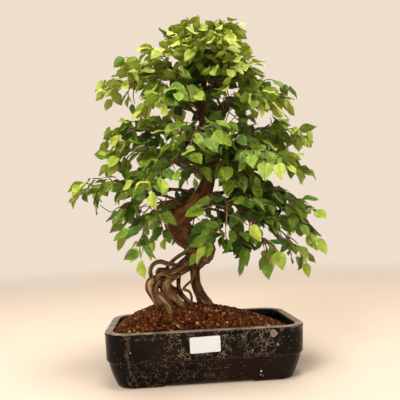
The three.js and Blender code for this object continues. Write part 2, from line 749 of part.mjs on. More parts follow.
function granuleFaces(topCount) {
  const faces = [];
  const place = (column, row) => row * (GRANULE_COLUMNS + 1) + column;
  for (let row = 0; row < GRANULE_ROWS; row++) {
    for (let column = 0; column < GRANULE_COLUMNS; column++) {
      const near = [place(column, row), place(column + 1, row)];
      const far = [place(column + 1, row + 1), place(column, row + 1)];
      // The fold runs between the two low corners, so each high one is a separate peak.
      const [a, b, c, d] = (row + column) % 2 === 0 ? [near[1], ...far, near[0]] : [...near, ...far];
      faces.push(a, b, c, a, c, d);
      faces.push(a + topCount, c + topCount, b + topCount, a + topCount, d + topCount, c + topCount);
    }
  }
  const wall = (from, to) => faces.push(from + topCount, to + topCount, to, from + topCount, to, from);
  for (let column = 0; column < GRANULE_COLUMNS; column++) {
    wall(place(column, 0), place(column + 1, 0));
    wall(place(column + 1, GRANULE_ROWS), place(column, GRANULE_ROWS));
  }
  for (let row = 0; row < GRANULE_ROWS; row++) {
    wall(place(GRANULE_COLUMNS, row), place(GRANULE_COLUMNS, row + 1));
    wall(place(0, row + 1), place(0, row));
  }
  return faces;
}

function soilSolid() {
  const wall = INNER_PROFILE.slice(1).reverse();
  const rings = wall.map(([inset, z]) => innerRing([inset + SEAT_GAP, z]));
  rings[0].forEach((point) => (point.z = FLOOR_HEIGHT + SEAT_GAP));
  rings.push(innerRing([RIM_WIDTH + SEAT_GAP, 2 * POT_HEIGHT]));
  let soil = toSolid(loft(rings)).intersect(toSolid(granuleBlock()));
  const pocketSize = SCREEN_SIZE + 2 * SEAT_GAP;
  const pocketDepth = SCREEN_THICKNESS + 2 * SEAT_GAP;
  for (const x of [-DRAIN_SPACING / 2, DRAIN_SPACING / 2]) {
    soil = soil.subtract(boxSolid(pocketSize, pocketSize, 2 * pocketDepth, x, 0, FLOOR_HEIGHT));
  }
  for (const points of Object.values(ROOTS)) {
    soil = soil.subtract(rootSolid(points, ROOT_HOLE_GROWTH));
  }
  return largestPiece(soil);
}

// Materials

function finish(color, roughness, metalness = 0) {
  return new THREE.MeshStandardMaterial({ color, roughness, metalness });
}

const GLAZE = finish(0x2a2320, 0.3);
const GRANULES = finish(0x6b3a26, 0.95);
const BARK = finish(0x6a4a34, 0.85);
const LEAF = finish(0x5f8f2f, 0.55);
const PAPER = finish(0xf1efe9, 0.7);
const NET = finish(0x1c1c1c, 0.6);

// Assembly

const bonsai = new THREE.Group();

function place(name, geometry, material) {
  const mesh = new THREE.Mesh(geometry, material);
  mesh.name = name;
  bonsai.add(mesh);
  return mesh;
}

place("pot", potGeometry(), GLAZE);
place("soil", toGeometry(soilSolid()), GRANULES);
for (const [side, x] of [["left", -DRAIN_SPACING / 2], ["right", DRAIN_SPACING / 2]]) {
  const screen = place(`drain_screen_${side}`, screenGeometry(), NET);
  screen.position.set(x, 0, FLOOR_HEIGHT + SEAT_GAP);
}

// The band leans out by a few degrees, and the sticker lies flat on it.
const [bandShare, bandLow] = OUTER_PROFILE[BAND_ROW];
const bandHigh = OUTER_PROFILE[RIM_ROW][1];
const bandInset = (share) => (share * (RIM_DEPTH - BASE_DEPTH)) / 2;
const bandLean = Math.atan(bandInset(bandShare) / (bandHigh - bandLow));
const labelInset = bandInset((bandShare * (bandHigh - LABEL_CENTRE_Z)) / (bandHigh - bandLow));
const label = place("label", labelGeometry(), PAPER);
label.rotation.set(Math.PI / 2 + bandLean, 0, THREE.MathUtils.degToRad(LABEL_TILT_DEG));
label.position.set(LABEL_CENTRE_X, labelInset - RIM_DEPTH / 2 - SEAT_GAP, LABEL_CENTRE_Z);

const rootSolids = Object.values(ROOTS).map((points) => rootSolid(points));
const woodParts = [trunkSolid(), ...rootSolids, ...branches.map(branchWood)];
place("tree", toGeometry(joined(woodParts)), BARK);

const sprays = branches.map(sprayStems);
const placed = woodParts.map((solid) => boxed(solid, "tree"));
sprays.forEach((spray, index) => placed.push(...spray.solids.map((solid) => boxed(solid, index, true))));
sprays.forEach((spray, index) => {
  const leaves = growLeaves(spray, index, placed);
  place(`spray_${branches[index].name}`, toGeometry(joined([...spray.solids, ...leaves])), LEAF);
});

export default bonsai;
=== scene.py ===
"""Korean hornbeam bonsai on exposed roots in a glazed pot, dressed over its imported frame.

Shapes are worked out in millimetres and become metres where a mesh is made.
+Z is up, and the origin is the centre of the pot's foot plane.
"""

import itertools
import math
import random

import bpy
import numpy as np
from mathutils import Matrix, Vector, noise


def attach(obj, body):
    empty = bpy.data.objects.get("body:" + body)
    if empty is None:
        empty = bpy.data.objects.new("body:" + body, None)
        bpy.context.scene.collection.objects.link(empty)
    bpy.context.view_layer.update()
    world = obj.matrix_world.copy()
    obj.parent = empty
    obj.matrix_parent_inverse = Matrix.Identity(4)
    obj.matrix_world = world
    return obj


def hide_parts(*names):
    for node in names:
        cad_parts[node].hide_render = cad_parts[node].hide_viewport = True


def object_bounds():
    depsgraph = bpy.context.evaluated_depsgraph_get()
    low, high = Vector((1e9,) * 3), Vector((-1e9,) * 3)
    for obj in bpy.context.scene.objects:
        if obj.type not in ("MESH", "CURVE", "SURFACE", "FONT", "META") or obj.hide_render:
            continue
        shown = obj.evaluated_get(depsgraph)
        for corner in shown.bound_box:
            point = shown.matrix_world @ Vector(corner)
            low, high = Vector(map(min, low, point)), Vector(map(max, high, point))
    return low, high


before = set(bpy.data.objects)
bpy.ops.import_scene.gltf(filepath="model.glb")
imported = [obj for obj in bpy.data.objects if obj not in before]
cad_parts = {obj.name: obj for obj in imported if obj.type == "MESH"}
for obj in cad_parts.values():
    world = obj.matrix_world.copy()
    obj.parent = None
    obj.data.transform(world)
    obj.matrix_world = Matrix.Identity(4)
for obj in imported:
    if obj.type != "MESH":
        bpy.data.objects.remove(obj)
CAD_BOX = [list(corner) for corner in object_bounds()]
MM = 0.001
UP = np.array([0.0, 0.0, 1.0])
# How far leaves and twigs may reach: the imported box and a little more
REACH_MARGIN = np.array([[-6, -5, 0], [8, 4, 1]])
REACH = np.array(CAD_BOX) / MM + REACH_MARGIN

# Camera: where it stands, what it looks along, and its lens for its sensor
CAMERA_PLACE = (-54.7, -635.94, 198.36)
CAMERA_RIGHT = (0.99577, -0.08597, -0.03234)
CAMERA_UP = (0.02441, -0.09181, 0.99548)
CAMERA_AHEAD = (0.08855, 0.99206, 0.08932)
CAMERA_LENS = 36.9
CAMERA_SENSOR = 36

# Room: each light has its place in metres, its size, its power and its colour.
BACKDROP = (0.86, 0.737, 0.612)
FLOOR_COLOR = (0.62, 0.54, 0.46)
FLOOR_RADIUS = 4000
FLOOR_SINK = 0.2
FLOOR_SIDES = 64
LIGHT_TARGET = (0, 0, 0.28)
LIGHTS = {
    "key": [(-0.75, -1.1, 1.35), 0.6, 20, (1.0, 0.95, 0.86)],
    "top": [(0.1, -0.25, 1.7), 0.7, 24, (1.0, 0.96, 0.88)],
}

# Pot
RIM_LENGTH = 280
RIM_DEPTH = 153
RIM_CORNER = 31
RIM_WIDTH = 11.4
BASE_LENGTH = 247.5
BASE_DEPTH = 130
BASE_CORNER = 27
POT_CORNER_STEPS = 12
# Each pair is a share of the way from the rim's outline to the base's outline, and a height.
OUTER_PROFILE = [
    (1.0, 0), (0.97, 1.2), (0.86, 4.8), (0.78, 8), (0.66, 13), (0.54, 18), (0.44, 23), (0.36, 28),
    (0.315, 31.4), (0.29, 33.2), (0.26, 34.0), (0.15, 34.8), (0.125, 35.8), (0.115, 38), (0.09, 46),
    (0.06, 56), (0.035, 65), (0.03, 68.6), (0.0, 69.6), (0.0, 71.2), (0.03, 72.4), (0.09, 73),
]
# Each pair is a distance in from the rim's outline, and a height.
INNER_PROFILE = [(9.6, 73), (10.7, 72.7), (11.4, 71.6), (12.4, 60), (15.5, 34), (19.5, 18), (24, 12)]
FOOT_HEIGHT = 5.5
FOOT_GAP_LENGTH = 120
FOOT_GAP_DEPTH = 52
FOOT_GAP_FLARE = 4
FOOT_GAP_BEVEL = 1.2
DRAIN_RADIUS = 9
DRAIN_SPACING = 120
DRAIN_SIDES = 24
WELL_CORNER_SHARE = 0.9
LEAST_WELL_CORNER = 12
POT_CREASE_DEG = 34

# Glaze: the lower edge of the pot's band, a painted reflection down the front's left end, and the marks on
# the front
BAND_EDGE = 34.7
REFLECTION_X = -106
REFLECTION_TOP = 68
# Each mark has its place along X, its height, its radius and its colour.
GLAZE_MARKS = [
    (90, 64.5, 4.6, (0.33, 0.26, 0.22)),
    (89.5, 64.5, 3.3, (0.19, 0.125, 0.115)),
    (95, 50, 1.9, (0.26, 0.19, 0.14)),
    (60, 44, 1.2, (0.30, 0.22, 0.15)),
    (72, 14, 1.5, (0.60, 0.56, 0.50)),
    (71, 9, 0.9, (0.50, 0.46, 0.42)),
    (75, 7, 0.7, (0.45, 0.42, 0.38)),
    (-103, 49, 0.8, (0.55, 0.50, 0.46)),
]

# Soil
FLOOR_HEIGHT = 12
SOIL_EDGE = 61
SOIL_FALL_RIGHT = 0.04
SOIL_FALL_BACK = 0.06
SOIL_RISE = 36
SOIL_PEAK_X = -40
SOIL_LENGTH_POWER = 0.9
SOIL_DEPTH_POWER = 0.8
# The inset from the rim's outline at the bed's edge, and the inset and height of its waist
SOIL_BED_INSET = 12.4
SOIL_BED_WAIST = (13.5, 50)
SOIL_BED_SINK = 0.8
SOIL_BED_RINGS = 30
SEAT_GAP = 0.3
GRANULE_PITCH = 3.1
GRANULE_RADIUS = 2.1
GRANULE_ROW_SHARE = 0.87
GRANULE_MARGINS = (2.8, 2.6)
GRANULE_SHIFT = 0.9
GRANULE_LIFTS = (-0.9, 0.5)
GRANULE_SIZES = [0.8, 1.0, 1.3]
GRANULE_SIZE_SHARES = [0.35, 0.45, 0.2]
TOP_GRANULES = 1300
TOP_GRANULE_LIFT = 1.1
PALE_GRANULES = 0.03
SOIL_SEED = 11

# Trunk: points on its centre line, each with its radius.
TRUNK = [
    [-9, -2, 152, 10], [-6, -1, 164, 17.5], [3, 0, 179, 20], [-10, -3, 193, 19], [-28, -6, 206, 18],
    [-37, -9, 220, 17.5], [-25, -7, 233, 16.5], [-8, -2, 245, 16.5], [3, 2, 258, 15],
    [13, 5, 277, 12.5], [20, 6, 305, 9.8], [18, 4, 332, 8], [13, 2, 360, 7], [10, 0, 395, 6.4],
    [12, 1, 430, 5.4], [22, 4, 478, 3.6],
]
TRUNK_FLUTES = 4
TRUNK_FLUTE_DEPTH = 0.09

# Exposed roots: points on each centre line, each with its radius.
ROOTS = {
    "right_leg": [
        [2, -3, 172, 10], [-9, -6, 150, 8], [-9, -7, 132, 7], [-5, -6, 119, 6.8], [2, -4, 107, 6.6],
        [10, -2, 96, 6.6], [16, 0, 83, 6.4],
    ],
    "big_shoulder": [
        [-2, -6, 166, 10], [-18, -10, 156, 8.5], [-34, -14, 147, 7], [-47, -17, 139, 7],
        [-56, -18, 130, 8], [-54, -18, 120, 8.2], [-45, -16, 110, 8], [-35, -14, 99, 7.6],
        [-26, -12, 83, 7],
    ],
    "arch": [
        [-6, 0, 184, 4], [-24, 0, 175, 3.2], [-36, 3, 168, 3], [-47, 6, 159, 3.2], [-54, 8, 148, 3.2],
        [-57, 6, 136, 3],
    ],
    "loop": [
        [-24, -8, 150, 4], [-40, -10, 157, 3.6], [-52, -10, 160, 3.6], [-63, -10, 163, 3.4],
        [-73, -11, 159, 3.2], [-77, -12, 150, 3.2], [-75, -14, 139, 3.6],
    ],
    "cross_root": [
        [-28, -4, 148, 4.4], [-42, -4, 147, 4.4], [-56, -6, 150, 4], [-65, -7, 150, 4],
        [-65, -10, 140, 4], [-60, -13, 132, 4.5],
    ],
    "folded": [
        [-34, -20, 141, 3.6], [-46, -24, 141, 3], [-56, -26, 146, 3], [-63, -26, 145, 3.2],
        [-68, -23, 137, 4], [-60, -20, 130, 4],
    ],
    "knuckle": [
        [-54, -16, 136, 6], [-67, -19, 138, 7], [-76, -19, 134, 8], [-77, -18, 125, 7.6],
        [-74, -16, 115, 5.5], [-70, -15, 106, 4.6], [-63, -14, 97, 4.4], [-54, -13, 83, 4],
    ],
    "front_thin": [
        [-62, -27, 136, 2.6], [-68, -30, 129, 2.2], [-67, -31, 121, 2.2], [-59, -32, 118, 2.2],
        [-52, -33, 110, 2.2], [-47, -34, 102, 2.2], [-41, -35, 84, 2],
    ],
    "front_main": [
        [-70, -22, 128, 4.6], [-68, -26, 118, 5], [-61, -30, 109, 5.2], [-53, -33, 100, 5.2],
        [-45, -36, 83, 4.6],
    ],
    "stub": [
        [-34, -6, 146, 4], [-35, 2, 134, 3.6], [-35, 6, 124, 3.2], [-30, 9, 112, 3],
    ],
    "back_diagonal": [
        [-54, -6, 130, 5], [-46, 4, 122, 4.4], [-36, 8, 115, 4.2], [-27, 11, 106, 4],
        [-18, 12, 96, 3.8], [-11, 12, 83, 3.4],
    ],
    "hanging_thin": [
        [-12, -16, 170, 2.6], [-14, -19, 158, 2.4], [-14, -20, 146, 2.2], [-16, -20, 135, 2.1],
        [-25, -20, 127, 2.1], [-29, -20, 122, 2.2], [-21, -20, 119, 2.1], [-17, -20, 112, 2.1],
        [-17, -20, 104, 2.1], [-13, -20, 84, 2],
    ],
    "back_right": [
        [0, 6, 166, 9], [-8, 20, 146, 6.4], [-8, 33, 124, 6], [-2, 38, 103, 5.6], [6, 41, 70, 5],
    ],
    "back_left": [
        [-12, 2, 170, 7], [-34, 16, 153, 6], [-54, 29, 134, 5.4], [-52, 35, 114, 5], [-44, 39, 98, 4.8],
        [-36, 43, 74, 4.4],
    ],
}

# Branches: the radius where each leaves the trunk, then the points of its centre line to the leafy tip.
BRANCHES = {
    "left_inner_low": [2.8, [-22, -6, 236], [-48, -14, 240], [-64, -24, 222], [-72, -28, 196]],
    "left_low_front": [3.2, [-12, -6, 243], [-46, -32, 250], [-73, -56, 228], [-92, -71, 190]],
    "left_low": [3.4, [-8, 0, 247], [-52, -2, 262], [-96, -2, 260], [-120, -5, 238]],
    "left_low_back": [3.2, [-4, 6, 250], [-40, 38, 260], [-76, 70, 252], [-102, 96, 226]],
    "left_long": [3.8, [4, 4, 262], [-42, 8, 276], [-96, 6, 286], [-142, 2, 286], [-175, -2, 274]],
    "left_front": [3.0, [14, 2, 285], [-10, -36, 302], [-40, -76, 300], [-74, -108, 274]],
    "left_middle": [3.0, [18, 5, 300], [-22, 0, 320], [-68, -10, 332], [-112, -14, 328], [-131, -14, 312]],
    "left_back": [3.0, [20, 8, 315], [-10, 42, 334], [-50, 80, 338], [-88, 112, 316]],
    "left_upper": [2.8, [15, 4, 345], [-22, 8, 362], [-70, 4, 374], [-110, 0, 366], [-134, -4, 350]],
    "top_left": [2.4, [10, 2, 400], [-24, 6, 428], [-70, 0, 445], [-110, -6, 443], [-138, -10, 428]],
    "top_left_back": [2.2, [11, 2, 420], [-20, 24, 458], [-62, 36, 482], [-104, 30, 482]],
    "top_left_front": [
        3.4, [11, 0, 385], [-22, -12, 412], [-40, -18, 442], [-46, -30, 472], [-64, -40, 482],
    ],
    "top_left_crown": [2.0, [15, 2, 448], [-2, 0, 486], [-14, 2, 512], [-24, 2, 527]],
    "crown": [2.6, [22, 4, 478], [32, 2, 502], [46, 0, 520], [62, -2, 528]],
    "crown_middle": [2.0, [20, 4, 466], [12, 4, 494], [2, 4, 514], [-6, 2, 527]],
    "crown_back": [2.2, [16, 3, 452], [22, 28, 480], [30, 54, 502], [34, 66, 510]],
    "crown_front": [2.2, [13, 1, 435], [18, -28, 464], [20, -58, 480], [18, -80, 476]],
    "top_right": [2.4, [12, 1, 430], [44, -2, 448], [74, -6, 456], [92, -10, 446]],
    "top_right_back": [2.2, [16, 3, 452], [36, 14, 480], [56, 22, 494], [70, 24, 492]],
    "front_right_upper": [2.2, [13, 1, 410], [30, -26, 438], [54, -44, 450], [74, -52, 442]],
    "right_upper": [2.8, [12, 2, 372], [48, 4, 402], [92, 0, 421], [124, -4, 419], [137, -6, 409]],
    "right_upper_back": [2.6, [12, 4, 385], [34, 38, 412], [64, 76, 424], [90, 100, 408]],
    "back_upper": [2.4, [12, 4, 400], [2, 38, 430], [-8, 74, 444], [-14, 98, 434]],
    "front_upper": [2.4, [11, 0, 395], [-12, -28, 412], [-38, -54, 414], [-64, -72, 390]],
    "right_upper_front": [2.6, [14, 2, 360], [40, -30, 390], [70, -60, 402], [96, -78, 390]],
    "right_middle": [3.2, [16, 4, 340], [60, -2, 358], [112, -8, 366], [148, -10, 362], [166, -8, 352]],
    "right_middle_low": [3.0, [18, 5, 322], [64, 4, 332], [116, 0, 326], [152, -4, 314], [168, -6, 299]],
    "right_inner_front": [2.4, [19, 4, 304], [36, -22, 314], [50, -44, 306], [56, -56, 284]],
    "right_front": [3.2, [20, 2, 312], [46, -38, 328], [78, -78, 322], [108, -104, 294]],
    "right_long": [3.6, [21, 6, 300], [70, 8, 295], [122, 6, 273], [158, 0, 252], [175, -2, 232]],
    "right_back": [3.2, [18, 10, 305], [44, 48, 322], [82, 88, 312], [114, 112, 282]],
    "back_middle": [3.0, [20, 8, 330], [20, 50, 352], [12, 94, 344], [4, 120, 312]],
    "front_middle": [3.0, [14, 0, 330], [8, -38, 352], [-4, -80, 348], [-18, -110, 318]],
    "right_low": [3.4, [10, 4, 262], [58, -4, 268], [110, -14, 249], [150, -20, 220], [168, -18, 197]],
    "right_low_end": [2.8, [10, 4, 256], [60, 2, 248], [108, -2, 219], [142, -8, 187], [154, -10, 172]],
    "right_low_front": [3.2, [6, -4, 250], [36, -34, 250], [69, -54, 222], [91, -62, 174]],
    "right_inner_low": [2.6, [4, -2, 243], [30, -10, 236], [54, -18, 206], [65, -22, 175]],
    "right_low_back": [3.2, [8, 8, 258], [42, 44, 262], [80, 78, 240], [110, 98, 204]],
    "front_low": [2.8, [8, -6, 258], [22, -46, 262], [30, -82, 240], [27, -98, 212]],
    "trunk_front": [2.2, [8, -6, 250], [24, -34, 244], [20, -58, 216], [4, -64, 188]],
    "back_low": [3.2, [2, 6, 260], [4, 48, 266], [0, 90, 242], [-6, 110, 206]],
}
BRANCH_TIP_RADIUS = 0.9
BRANCH_TAPER_POWER = 1.5
BRANCH_KINK = 1.8
KINK_PITCH = 17
# The share of each branch that is wood, with its leafy spray beyond
WOOD_SHARE = 0.47

# Wood surface
WOOD_VOXEL = 1.15
BARK_RELIEF = 0.8
RELIEF_PER_RADIUS = 0.14
CREVICE_WIDTH = 2.4
CREVICE_DEPTH = 0.9
# Ridges round the wood and along it, on thin wood and more for each millimetre of radius
RIDGES_ROUND = (1.1, 0.09)
RIDGES_ALONG = (0.035, 0.003)
# Each layer of relief has its strength, how much finer it is, and its shift from line to line.
BARK_LAYERS = [(0.55, 1, 7.3), (0.35, 3, 3.1)]
BARK_MIDDLE = 0.55
GRAIN_SHIFT = 40
TRUNK_FOOT = 168
TRUNK_FOOT_BLEND = 26

# Leafy sprays
TWIG_COUNT = 12
TWIG_FIRST_SHARE = 0.36
TWIG_LAST_SHARE = 0.95
TWIG_LENGTH = 42
TWIG_END_LENGTH = 24
TWIG_ANGLE_DEG = 56
TWIG_RISES = (-0.4, 0.65)
TWIG_SAG = 0.14
TWIG_RADIUS = 0.95
TWIG_MARGIN = 8
TWIG_BARE_SHARE = 0.25
TWIG_LEAFY_SHARE = 0.72
LEAF_PITCH_ON_TWIG = 8
LEAF_PITCH_ON_STEM = 13
# Sprays with fewer twigs than the rest, further out
THIN_SPRAYS = {
    "left_inner_low": 2, "left_low_front": 3, "left_low": 4, "trunk_front": 3, "front_low": 5,
}
THIN_FIRST_SHARE = 0.62
# Short old twigs near the trunk, with a few dark leaves
INNER_TWIGS = 4
INNER_FIRST_SHARE = 0.2
INNER_LAST_SHARE = 0.45
INNER_LENGTH = 20
INNER_RISES = (-0.2, 1.2)
INNER_SEATS = (0.4, 0.7, 0.99)
INNER_TONES = (0.05, 0.4)
# Twigs that stand out on their own: the branch and the share of it where each starts,
# its other points, and the places of its leaves
LONE_TWIGS = [
    (
        "left_low",
        0.62,
        [[-110, -4, 252], [-127, -4, 245], [-133, -4, 240], [-142, -4, 244], [-151, -4, 251]],
        [],
    ),
    ("top_left", 0.72, [[-98, -4, 421], [-96, -4, 409]], []),
    ("top_left", 0.5, [[-73, -2, 456], [-70, -2, 476]], [0.7, 0.85, 1.0]),
    ("top_left", 0.7, [[-106, -6, 427], [-101, -8, 411]], [0.45, 0.7, 1.0]),
    ("top_left_crown", 0.55, [[-41, -6, 509], [-48, -8, 518]], [0.45, 0.7, 1.0]),
    ("top_left_back", 0.8, [[-97, 20, 491], [-110, 16, 494]], [0.45, 0.7, 1.0]),
    ("right_upper", 0.6, [[115, -4, 448], [134, -6, 444], [147, -8, 433]], [0.3, 0.5, 0.7, 0.85, 1.0]),
    ("left_long", 0.85, [[-156, -2, 270], [-160, -6, 256]], [0.45, 0.7, 1.0]),
    ("left_middle", 0.75, [[-107, -12, 323], [-113, -14, 306]], [0.45, 0.7, 1.0]),
]

# Leaf blades
BLADE_LENGTH = 25.5
BLADE_WIDTH_SHARE = 0.66
# Each pair is a share of the blade's length, and how wide it is there.
BLADE_OUTLINE = [
    (0.0, 0.0), (0.05, 0.42), (0.12, 0.7), (0.22, 0.9), (0.36, 1.0), (0.5, 0.96),
    (0.64, 0.80), (0.78, 0.53), (0.88, 0.28), (0.95, 0.10), (1.0, 0.0),
]
# Round one blade: how far across each point is, and whether it is on top, on the edge or below.
BLADE_ACROSS = np.array([1, 0.5, 0, -0.5, -1, 0])
BLADE_SIDE = np.array([0, 1, 1, 1, 0, -1])
BLADE_ROWS = 18
BLADE_THICKNESS = 0.45
BLADE_TOOTH = 0.055
BLADE_TOOTH_LEAN = 0.02
BLADE_WAVE = 0.036
BLADE_FOLDS = (0.10, 0.38)
BLADE_BENDS = (-0.02, 0.18)
BLADE_SWAYS = (-0.10, 0.10)
STALK_LENGTH = 3.5
STALK_RADIUS = 0.45
STALK_SIDES = 3
LEAF_CREASE_DEG = 22
LEAF_ANGLE_DEG = 50
LEAF_DROOP = 0.38
LEAF_SIZES = (0.78, 1.14)
LEAF_ANGLE_SPREAD_DEG = 18
LEAF_DROOPS = (-0.3, 2.2)
LEAF_SHRINK = 0.95
LEAF_TRIES = 8
LEAF_SEED = 20
FALLEN_LEAF_PLACE = (5, -59)
FALLEN_LEAF_LENGTH = 9
FALLEN_LEAF_LIFT = 1.2
# Twigs have the second material, and no place on a blade.
AS_TWIG = {"tag": 1, "blade": (0, 0, 0), "leaf": (0, 0, 0)}

# Leaf tones, from 0 for old dark leaves to 1 for young bright ones: the least, and what youth,
# youth at the crown's sides, height, and the top of the crown add. What height and the top add
# is partly young growth and partly painted light on the upper crown.
TONE_LEAST = 0.15
TONE_YOUTH = 0.44
TONE_ASIDE = 0.20
TONE_HEIGHT = 0.37
TONE_TOP = 0.64
TONE_SPREAD = 0.11
TONE_RANGE = (0.02, 0.88)
STEM_TIP_TONE = 0.15
TWIG_TIP_TONE = 0.08
YOUTH_POWER = 1.6
CROWN_FOOT = 250
CROWN_HEIGHT = 300
CROWN_MIDDLE = 10
CROWN_HALF_LENGTH = 120

# Crown: each pair is a place along X and the highest that leaf tips reach there.
CROWN_EDGE = [
    (-115, 488), (-73, 513), (-54, 528), (-21, 549), (20, 556),
    (75, 551), (88, 532), (105, 485), (123, 455), (158, 424),
]
# How that height falls off with the square of the distance to front and back
CROWN_FALL = 0.008
# Open gaps through the crown, each straight from front to back: X and Z at its front end,
# X and Z at its back end, and its radius
GAPS = [
    (37, 357, 77, 426, 6), (77, 345, 134, 409, 4.5), (-84, 374, -96, 452, 4), (146, 262, 234, 290, 7),
    (120, 259, 197, 285, 5), (-9, 222, 12, 233, 4), (-13, 362, 5, 434, 1), (37, 387, 77, 469, 2),
    (-48, 400, -45, 489, 2), (-95, 287, -113, 325, 2), (-40, 288, -34, 327, 3), (-19, 312, -3, 361, 2),
    (75, 277, 132, 311, 2.5), (101, 275, 169, 308, 4), (-66, 248, -70, 270, 4), (-44, 251, -39, 273, 4),
    (-76, 236, -85, 252, 3), (10, 230, 38, 243, 4), (25, 209, 60, 213, 3), (52, 210, 99, 216, 3),
    (77, 201, 135, 201, 4), (100, 200, 167, 200, 3), (118, 186, 193, 181, 3), (140, 220, 225, 229, 2),
    (40, 233, 82, 248, 2), (59, 171, 108, 160, 4),
]
GAP_FRONT_Y = -110
GAP_BACK_Y = 120
GAP_MARGIN = 6


# Meshes


def unit(vectors):
    return vectors / np.linalg.norm(vectors, axis=-1, keepdims=True)


def circle(sides):
    """Cosines and sines of evenly spaced directions, and their angles."""
    angles = np.arange(sides) * 2 * math.pi / sides
    return np.cos(angles), np.sin(angles), angles


def add_attribute(mesh, name, rows):
    attribute = mesh.attributes.new(name, "FLOAT_VECTOR", "POINT")
    attribute.data.foreach_set("vector", rows.ravel())


def read(items, name, width=1, kind=float):
    """A value, or a row of them, for each of a mesh's vertices, edges, loops or faces."""
    values = np.empty(len(items) * width, kind)
    items.foreach_get(name, values)
    return values.reshape(-1, width) if width > 1 else values


class Maker:
    """Collects points and faces, each face row as long as the face has corners."""

    def __init__(self):
        self.points = []
        self.faces = []
        self.tags = []
        self.values = {}
        self.count = 0

    def add(self, points, faces, tag=0, **values):
        """The tag is the material's place in the piece's list, and values are kept for each point."""
        self.points.append(points)
        for rows in faces:
            self.faces.append(rows + self.count)
            self.tags.append(np.full(len(rows), tag))
        for name, value in values.items():
            self.values.setdefault(name, []).append(np.broadcast_to(value, (len(points), 3)))
        self.count += len(points)

    def build(self, name):
        mesh = bpy.data.meshes.new(name)
        points = np.concatenate(self.points) * MM
        corners = np.concatenate([rows.ravel() for rows in self.faces])
        sizes = np.concatenate([np.full(len(rows), rows.shape[1]) for rows in self.faces])
        mesh.vertices.add(len(points))
        mesh.vertices.foreach_set("co", points.ravel())
        mesh.loops.add(len(corners))
        mesh.loops.foreach_set("vertex_index", corners)
        mesh.polygons.add(len(sizes))
        mesh.polygons.foreach_set("loop_start", np.cumsum(sizes) - sizes)
        mesh.polygons.foreach_set("material_index", np.concatenate(self.tags))
        mesh.update(calc_edges=True)
        mesh.shade_smooth()
        for value_name, rows in self.values.items():
            add_attribute(mesh, value_name, np.concatenate(rows))
        piece = bpy.data.objects.new(name, mesh)
        bpy.context.scene.collection.objects.link(piece)
        return piece


def skin_faces(count, rings):
    """Walls between rings of points, and fans round the two end points that follow the rings."""
    ring = np.arange(count)
    turned = (ring + 1) % count
    wall = np.stack([ring, turned, turned + count, ring + count], 1)
    walls = np.vstack([wall + k * count for k in range(rings - 1)])
    last = (rings - 1) * count
    foot = np.full(count, rings * count)
    foot_fan = np.stack([foot, turned, ring], 1)
    head_fan = np.stack([foot + 1, last + ring, last + turned], 1)
    return [walls, np.vstack([foot_fan, head_fan])]


def add_skin(maker, rings, ends, **values):
    """A closed skin over rings with the same number of points, and a point at each end."""
    maker.add(np.vstack([*rings, ends]), skin_faces(len(rings[0]), len(rings)), **values)


def add_loft(maker, rings, **values):
    """A closed skin over rings, with its end points in their middles."""
    add_skin(maker, rings, [rings[0].mean(axis=0), rings[-1].mean(axis=0)], **values)


def apply_modifiers(piece):
    graph = bpy.context.evaluated_depsgraph_get()
    mesh = bpy.data.meshes.new_from_object(piece.evaluated_get(graph))
    piece.modifiers.clear()
    piece.data = mesh


# Centre lines and tubes


class CentreLine:
    """A smooth curve through given points, read by shares of its length."""

    STEPS = 12

    def __init__(self, points):
        self.knots = np.array(points, float)
        places = self.knots[:, :3]
        padded = np.vstack([2 * places[0] - places[1], places, 2 * places[-1] - places[-2]])
        rows = [self.stretch(padded[i : i + 4]) for i in range(len(places) - 1)]
        self.points = np.vstack([*rows, places[-1:]])
        self.marks = np.linspace(0, len(places) - 1, len(self.points))
        steps = np.linalg.norm(np.diff(self.points, axis=0), axis=1)
        self.length = steps.sum()
        self.shares = np.concatenate([[0], np.cumsum(steps)]) / self.length

    def stretch(self, corners):
        """A centripetal curve from the second corner towards the third."""
        before, start, end, after = corners
        gaps = np.linalg.norm(np.diff(corners, axis=0), axis=1) ** 0.5
        leave = (start - before) / gaps[0] - (end - before) / (gaps[0] + gaps[1]) + (end - start) / gaps[1]
        arrive = (end - start) / gaps[1] - (after - start) / (gaps[1] + gaps[2]) + (after - end) / gaps[2]
        leave, arrive = leave * gaps[1], arrive * gaps[1]
        t = np.arange(self.STEPS)[:, None] / self.STEPS
        square = 3 * (end - start) - 2 * leave - arrive
        cube = 2 * (start - end) + leave + arrive
        return start + leave * t + square * t**2 + cube * t**3

    def at(self, share):
        return np.stack([np.interp(share, self.shares, self.points[:, k]) for k in range(3)], axis=-1)

    def ahead(self, share):
        share = np.asarray(share, float)
        return unit(self.at(np.minimum(share + 0.01, 1)) - self.at(np.maximum(share - 0.01, 0)))

    def carried(self, share):
        """The radius that the points carry."""
        mark = np.interp(share, self.shares, self.marks)
        return np.interp(mark, np.arange(len(self.knots)), self.knots[:, 3])


def sections(line, step, start=0.0, end=1.0):
    """Shares along a line, its middle there, and two directions across that hardly turn."""
    count = max(2, round(line.length * (end - start) / step))
    shares = np.linspace(start, end, count + 1)
    aheads = line.ahead(shares)
    across = [np.cross([0.31, 0.52, 0.8], aheads[0])]
    for ahead in aheads:
        across.append(unit(across[-1] - ahead * (across[-1] @ ahead)))
    across = np.array(across[1:])
    return shares, line.at(shares), across, np.cross(aheads, across)


def add_tube(maker, line, radius_at, sides, step, start=0.0, end=1.0, shape=None, **values):
    """A closed tube along a line, whose radius a shape may change by angle and share."""
    shares, middles, across, beside = sections(line, step, start, end)
    cosines, sines, angles = circle(sides)
    radius = np.broadcast_to(radius_at(shares), shares.shape)[:, None]
    if shape:
        radius = radius * shape(angles[None], shares[:, None])
    cosines = (radius * cosines)[..., None]
    sines = (radius * sines)[..., None]
    rings = middles[:, None] + cosines * across[:, None] + sines * beside[:, None]
    add_skin(maker, rings, middles[[0, -1]], **values)


# Material building


